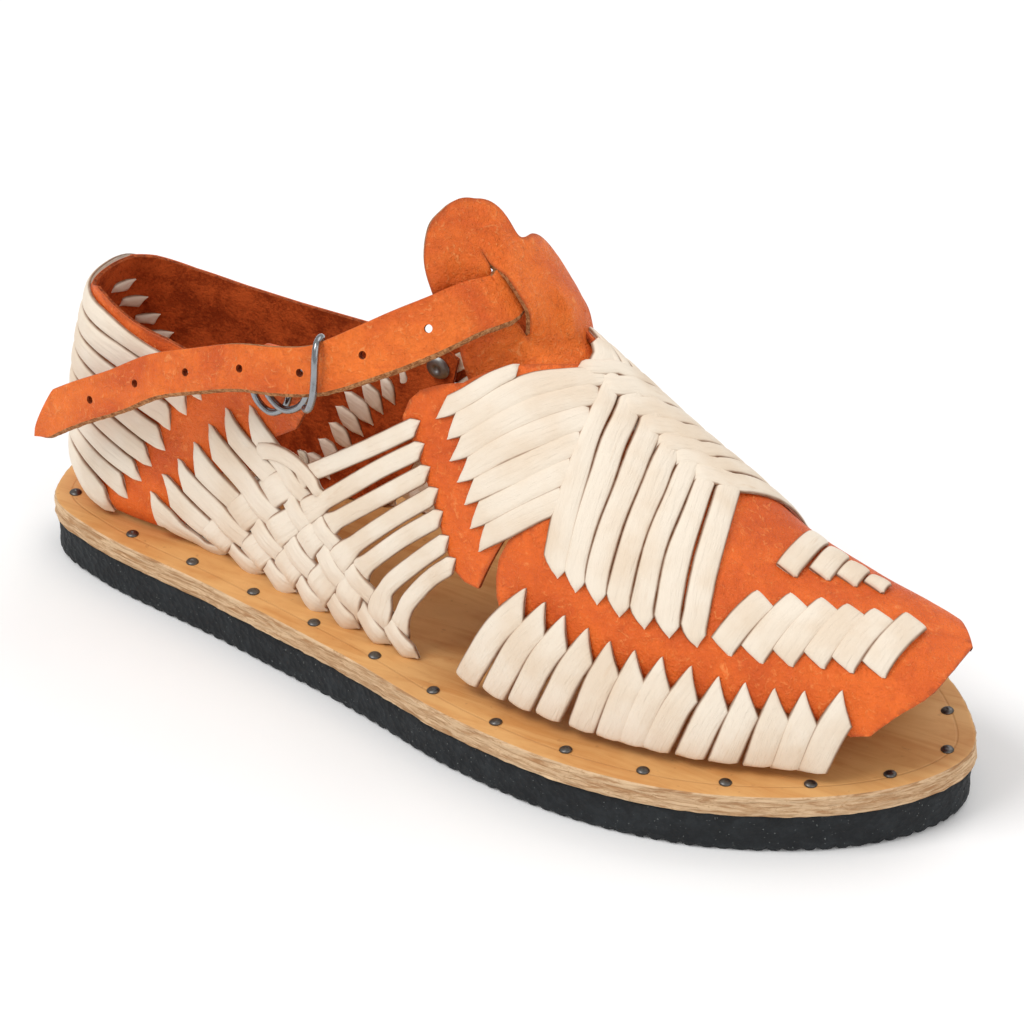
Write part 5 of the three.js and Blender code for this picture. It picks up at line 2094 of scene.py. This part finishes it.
# ---------------------------------------------------------------- buckle and rivet
@dataclass
class Hardware:
    """The buckle's two rings and bar, the fold that holds them, and the rivet."""

    finishes: Finishes
    wire: float = 1.05
    fold_x: float = -54.0
    fold_y: float = -27.2
    fold_z: float = 93.5
    fold_reach: float = 4.4
    fold_half: float = 4.4
    fold_thick: float = 1.5
    bar: tuple[Row, ...] = (
        (-39, -28.4, 105.2), (-38.2, -29.4, 107.6), (-37.2, -33, 107.8), (-36.4, -35.4, 105),
        (-36.1, -36.6, 99),
        (-36.1, -37.8, 93.5), (-37.2, -37.8, 90), (-39.6, -35.8, 87.8), (-41.4, -33.6, 87.2),
    )

    def build(self) -> None:
        """Makes the metal pieces and the fold."""
        self.ring("ring_back_wire", "buckle_ring_back", -63.4, -50.6, 77.5, -26, 0.05)
        self.ring("ring_front_wire", "buckle_ring_front", -57.4, -43.6, 81.5, -28.4, 0.1)
        self.sweep("buckle_bar_wire", "buckle_bar", self.bar, False)
        self.fold()
        self.rivet()

    def ring(self, name: str, node: str, left: float, right: float, low: float, y: float,
             tilt: float) -> None:
        """An upright ring that hangs in the fold.

        Args:
            name: the piece's name.
            node: the solid that it stands for.
            left: its rear side.
            right: its front side.
            low: the height of its lower bar.
            y: the place of its top.
            tilt: how far its foot leans out for each millimetre down.
        """
        high = self.fold_z + 0.7
        middle = (left + right) / 2

        def at(x: float, z: float) -> Row:
            """A place of the ring."""
            return x, y - (high - z) * tilt, z

        path = (at(left + 2.2, high), at(middle, high), at(right - 2.2, high), at(right, high - 2.2),
                at(right, (high + low) / 2), at(right - 2.1, low + 2.4), at(middle, low),
                at(left + 2.1, low + 2.4), at(left, (high + low) / 2), at(left, high - 2.2))
        self.sweep(name, node, path, True)

    def sweep(self, name: str, node: str, path: Sequence[Row], closed: bool) -> None:
        """A round wire along a path.

        Args:
            name: the piece's name.
            node: the solid that it stands for.
            path: the places that it passes.
            closed: whether its end joins its start.
        """
        line = [Vector(p) for p in smooth_rows(path, 0.8, closed)]
        draft = Draft()
        rings = []
        guide = Vector((0.3, 0.9, 0.2)).normalized()
        for i, p in enumerate(line):
            before = line[i - 1] if closed or i else p
            after = line[(i + 1) % len(line)] if closed or i < len(line) - 1 else p
            way = (after - before).normalized()
            side = (guide - way * guide.dot(way)).normalized()
            guide = side
            up = way.cross(side)
            slim = 1.0 if closed else min(1.0, 0.55 + min(i, len(line) - 1 - i) * 0.25)
            rings.append([draft.add(p + (side * math.cos(a) + up * math.sin(a)) * self.wire * slim)
                          for a in round_angles(14)])
        draft.tube(rings, closed)
        settle(draft.build(name, [self.finishes.steel], 70), "steel", node)

    def fold(self) -> None:
        """The counter's front tab, folded outwards over the rings' tops."""
        draft = Draft()
        outer = self.fold_reach
        arc = [(self.fold_y + outer, z) for z in (74.0, 84.0, self.fold_z)]
        arc += [(self.fold_y + outer * math.cos(a), self.fold_z + outer * math.sin(a))
                for a in (math.pi * n / 8 for n in range(1, 9))]
        arc += [(self.fold_y - outer, 90.0)]
        profile = ((1, 0), (0.96, 0.45), (0, 0.5), (-0.96, 0.45), (-1, 0), (-0.96, -0.6), (0, -0.7),
                   (0.96, -0.6))
        rings = []
        line = smooth_rows(arc, 1.0)
        for i, (y, z) in enumerate(line):
            before, after = line[max(i - 1, 0)], line[min(i + 1, len(line) - 1)]
            way = Vector((0, after[0] - before[0], after[1] - before[1])).normalized()
            out = Vector((1, 0, 0)).cross(way)
            p = Vector((self.fold_x, y, z))
            rings.append([draft.add(p + Vector((self.fold_half * s, 0, 0)) - out * (h * self.fold_thick),
                                    (z, s * 4), abs(s)) for s, h in profile])
        draft.tube(rings)
        settle(draft.build("buckle_fold", [self.finishes.leather], 60), "tan_leather")

    def rivet(self) -> None:
        """The rivet with its dimpled head inside the wall."""
        low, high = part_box("strap_rivet")
        centre = (low + high) / 2 / MM
        face = SIDE.normal(-LAST.girth(centre.x), centre.z)
        foot = LAST.side_point(-LAST.girth(centre.x), centre.z)
        draft = Draft()
        up = Vector((0, 0, 1))
        side = (up - face * up.dot(face)).normalized()
        across = face.cross(side)
        profile = ((0.05, -3.2), (0.55, -3.25), (0.95, -3.7), (1.35, -4.0), (2.0, -4.1), (2.9, -3.8),
                   (3.5, -3.3), (3.7, -2.9), (1.5, -2.85), (1.5, 3.6), (3.7, 3.7), (3.5, 4.2), (2.6, 4.8),
                   (1.2, 5.1), (0.05, 5.15))
        rings = []
        for radius, at in profile:
            rings.append([draft.add(foot + face * at + (side * math.cos(a) + across * math.sin(a)) * radius)
                          for a in round_angles(28)])
        draft.tube(rings)
        settle(draft.build("rivet_head", [self.finishes.dull], 50), "steel", "strap_rivet")


# ---------------------------------------------------------------- studio
@dataclass
class Studio:
    """The camera, the pale floor and the soft lights."""

    azimuth: float = 30.0
    elevation: float = 31.5
    distance: float = 1338.8
    target: tuple[float, float, float] = (-20.9, 44.0, 18.5)
    lens: float = 161.72
    surround: float = 0.56
    floor_size: float = 30.0
    # each lamp's name, place and size in metres, and power in watts
    lamps: tuple = (
        ("key", (-0.6, -0.9, 1.7), 1.0, 17),
        ("fill", (1.3, -0.5, 1.0), 1.4, 4.6),
        ("back", (0.2, 1.2, 1.5), 1.4, 7),
    )

    def build(self) -> None:
        """Sets up the scene."""
        self.camera()
        self.floor()
        self.lights()

    def camera(self) -> None:
        """The camera at the sandal's viewing angle."""
        a, e = math.radians(self.azimuth), math.radians(self.elevation)
        away = Vector((math.sin(a) * math.cos(e), -math.cos(a) * math.cos(e), math.sin(e)))
        data = bpy.data.cameras.new("camera")
        data.lens, data.sensor_width = self.lens, 36.0
        data.clip_start, data.clip_end = 0.05, 20.0
        camera = bpy.data.objects.new("camera", data)
        camera.location = (Vector(self.target) + away * self.distance) * MM
        camera.rotation_euler = away.to_track_quat("Z", "Y").to_euler()
        bpy.context.scene.collection.objects.link(camera)
        bpy.context.scene.camera = camera

    def floor(self) -> None:
        """A pale floor that runs far out."""
        choose()
        bpy.ops.mesh.primitive_plane_add(size=self.floor_size)
        floor = bpy.context.active_object
        floor.name = "floor"
        d = Dresser("pale_floor")
        floor.data.materials.append(d.finish(colour(255, 255, 255), 0.9, Specular_IOR_Level=0.0))

    def lights(self) -> None:
        """A bright surround and large soft lights."""
        world = bpy.data.worlds.new("surround")
        world.use_nodes = True
        sky = world.node_tree.nodes["Background"]
        sky.inputs["Color"].default_value = (1, 1, 1, 1)
        sky.inputs["Strength"].default_value = self.surround
        bpy.context.scene.world = world
        for name, place, size, power in self.lamps:
            data = bpy.data.lights.new(name, "AREA")
            data.shape, data.size, data.energy = "DISK", size, power
            light = bpy.data.objects.new(name, data)
            light.location = place
            light.rotation_euler = (Vector(place) - Vector((0, 0, 0.03))).to_track_quat("Z", "Y").to_euler()
            bpy.context.scene.collection.objects.link(light)
        bpy.context.scene.view_settings.view_transform = "Standard"


def main() -> None:
    """Builds the sandal piece by piece."""
    logging.basicConfig(level=logging.INFO, format="%(message)s")
    finishes = Finishes()
    sole = Sole(finishes)
    sole.rubber()
    sole.board()
    sole.nails()
    Counter(finishes).build()
    SideWeave(finishes).build()
    SideWeave(finishes, mirrored=True).build()
    Instep(finishes).build()
    Toe(finishes).build()
    tab = Tab(finishes)
    tab.build()
    Strap(finishes, tab).build()
    Hardware(finishes).build()
    Studio().build()


if __name__ == "__main__":
    main()
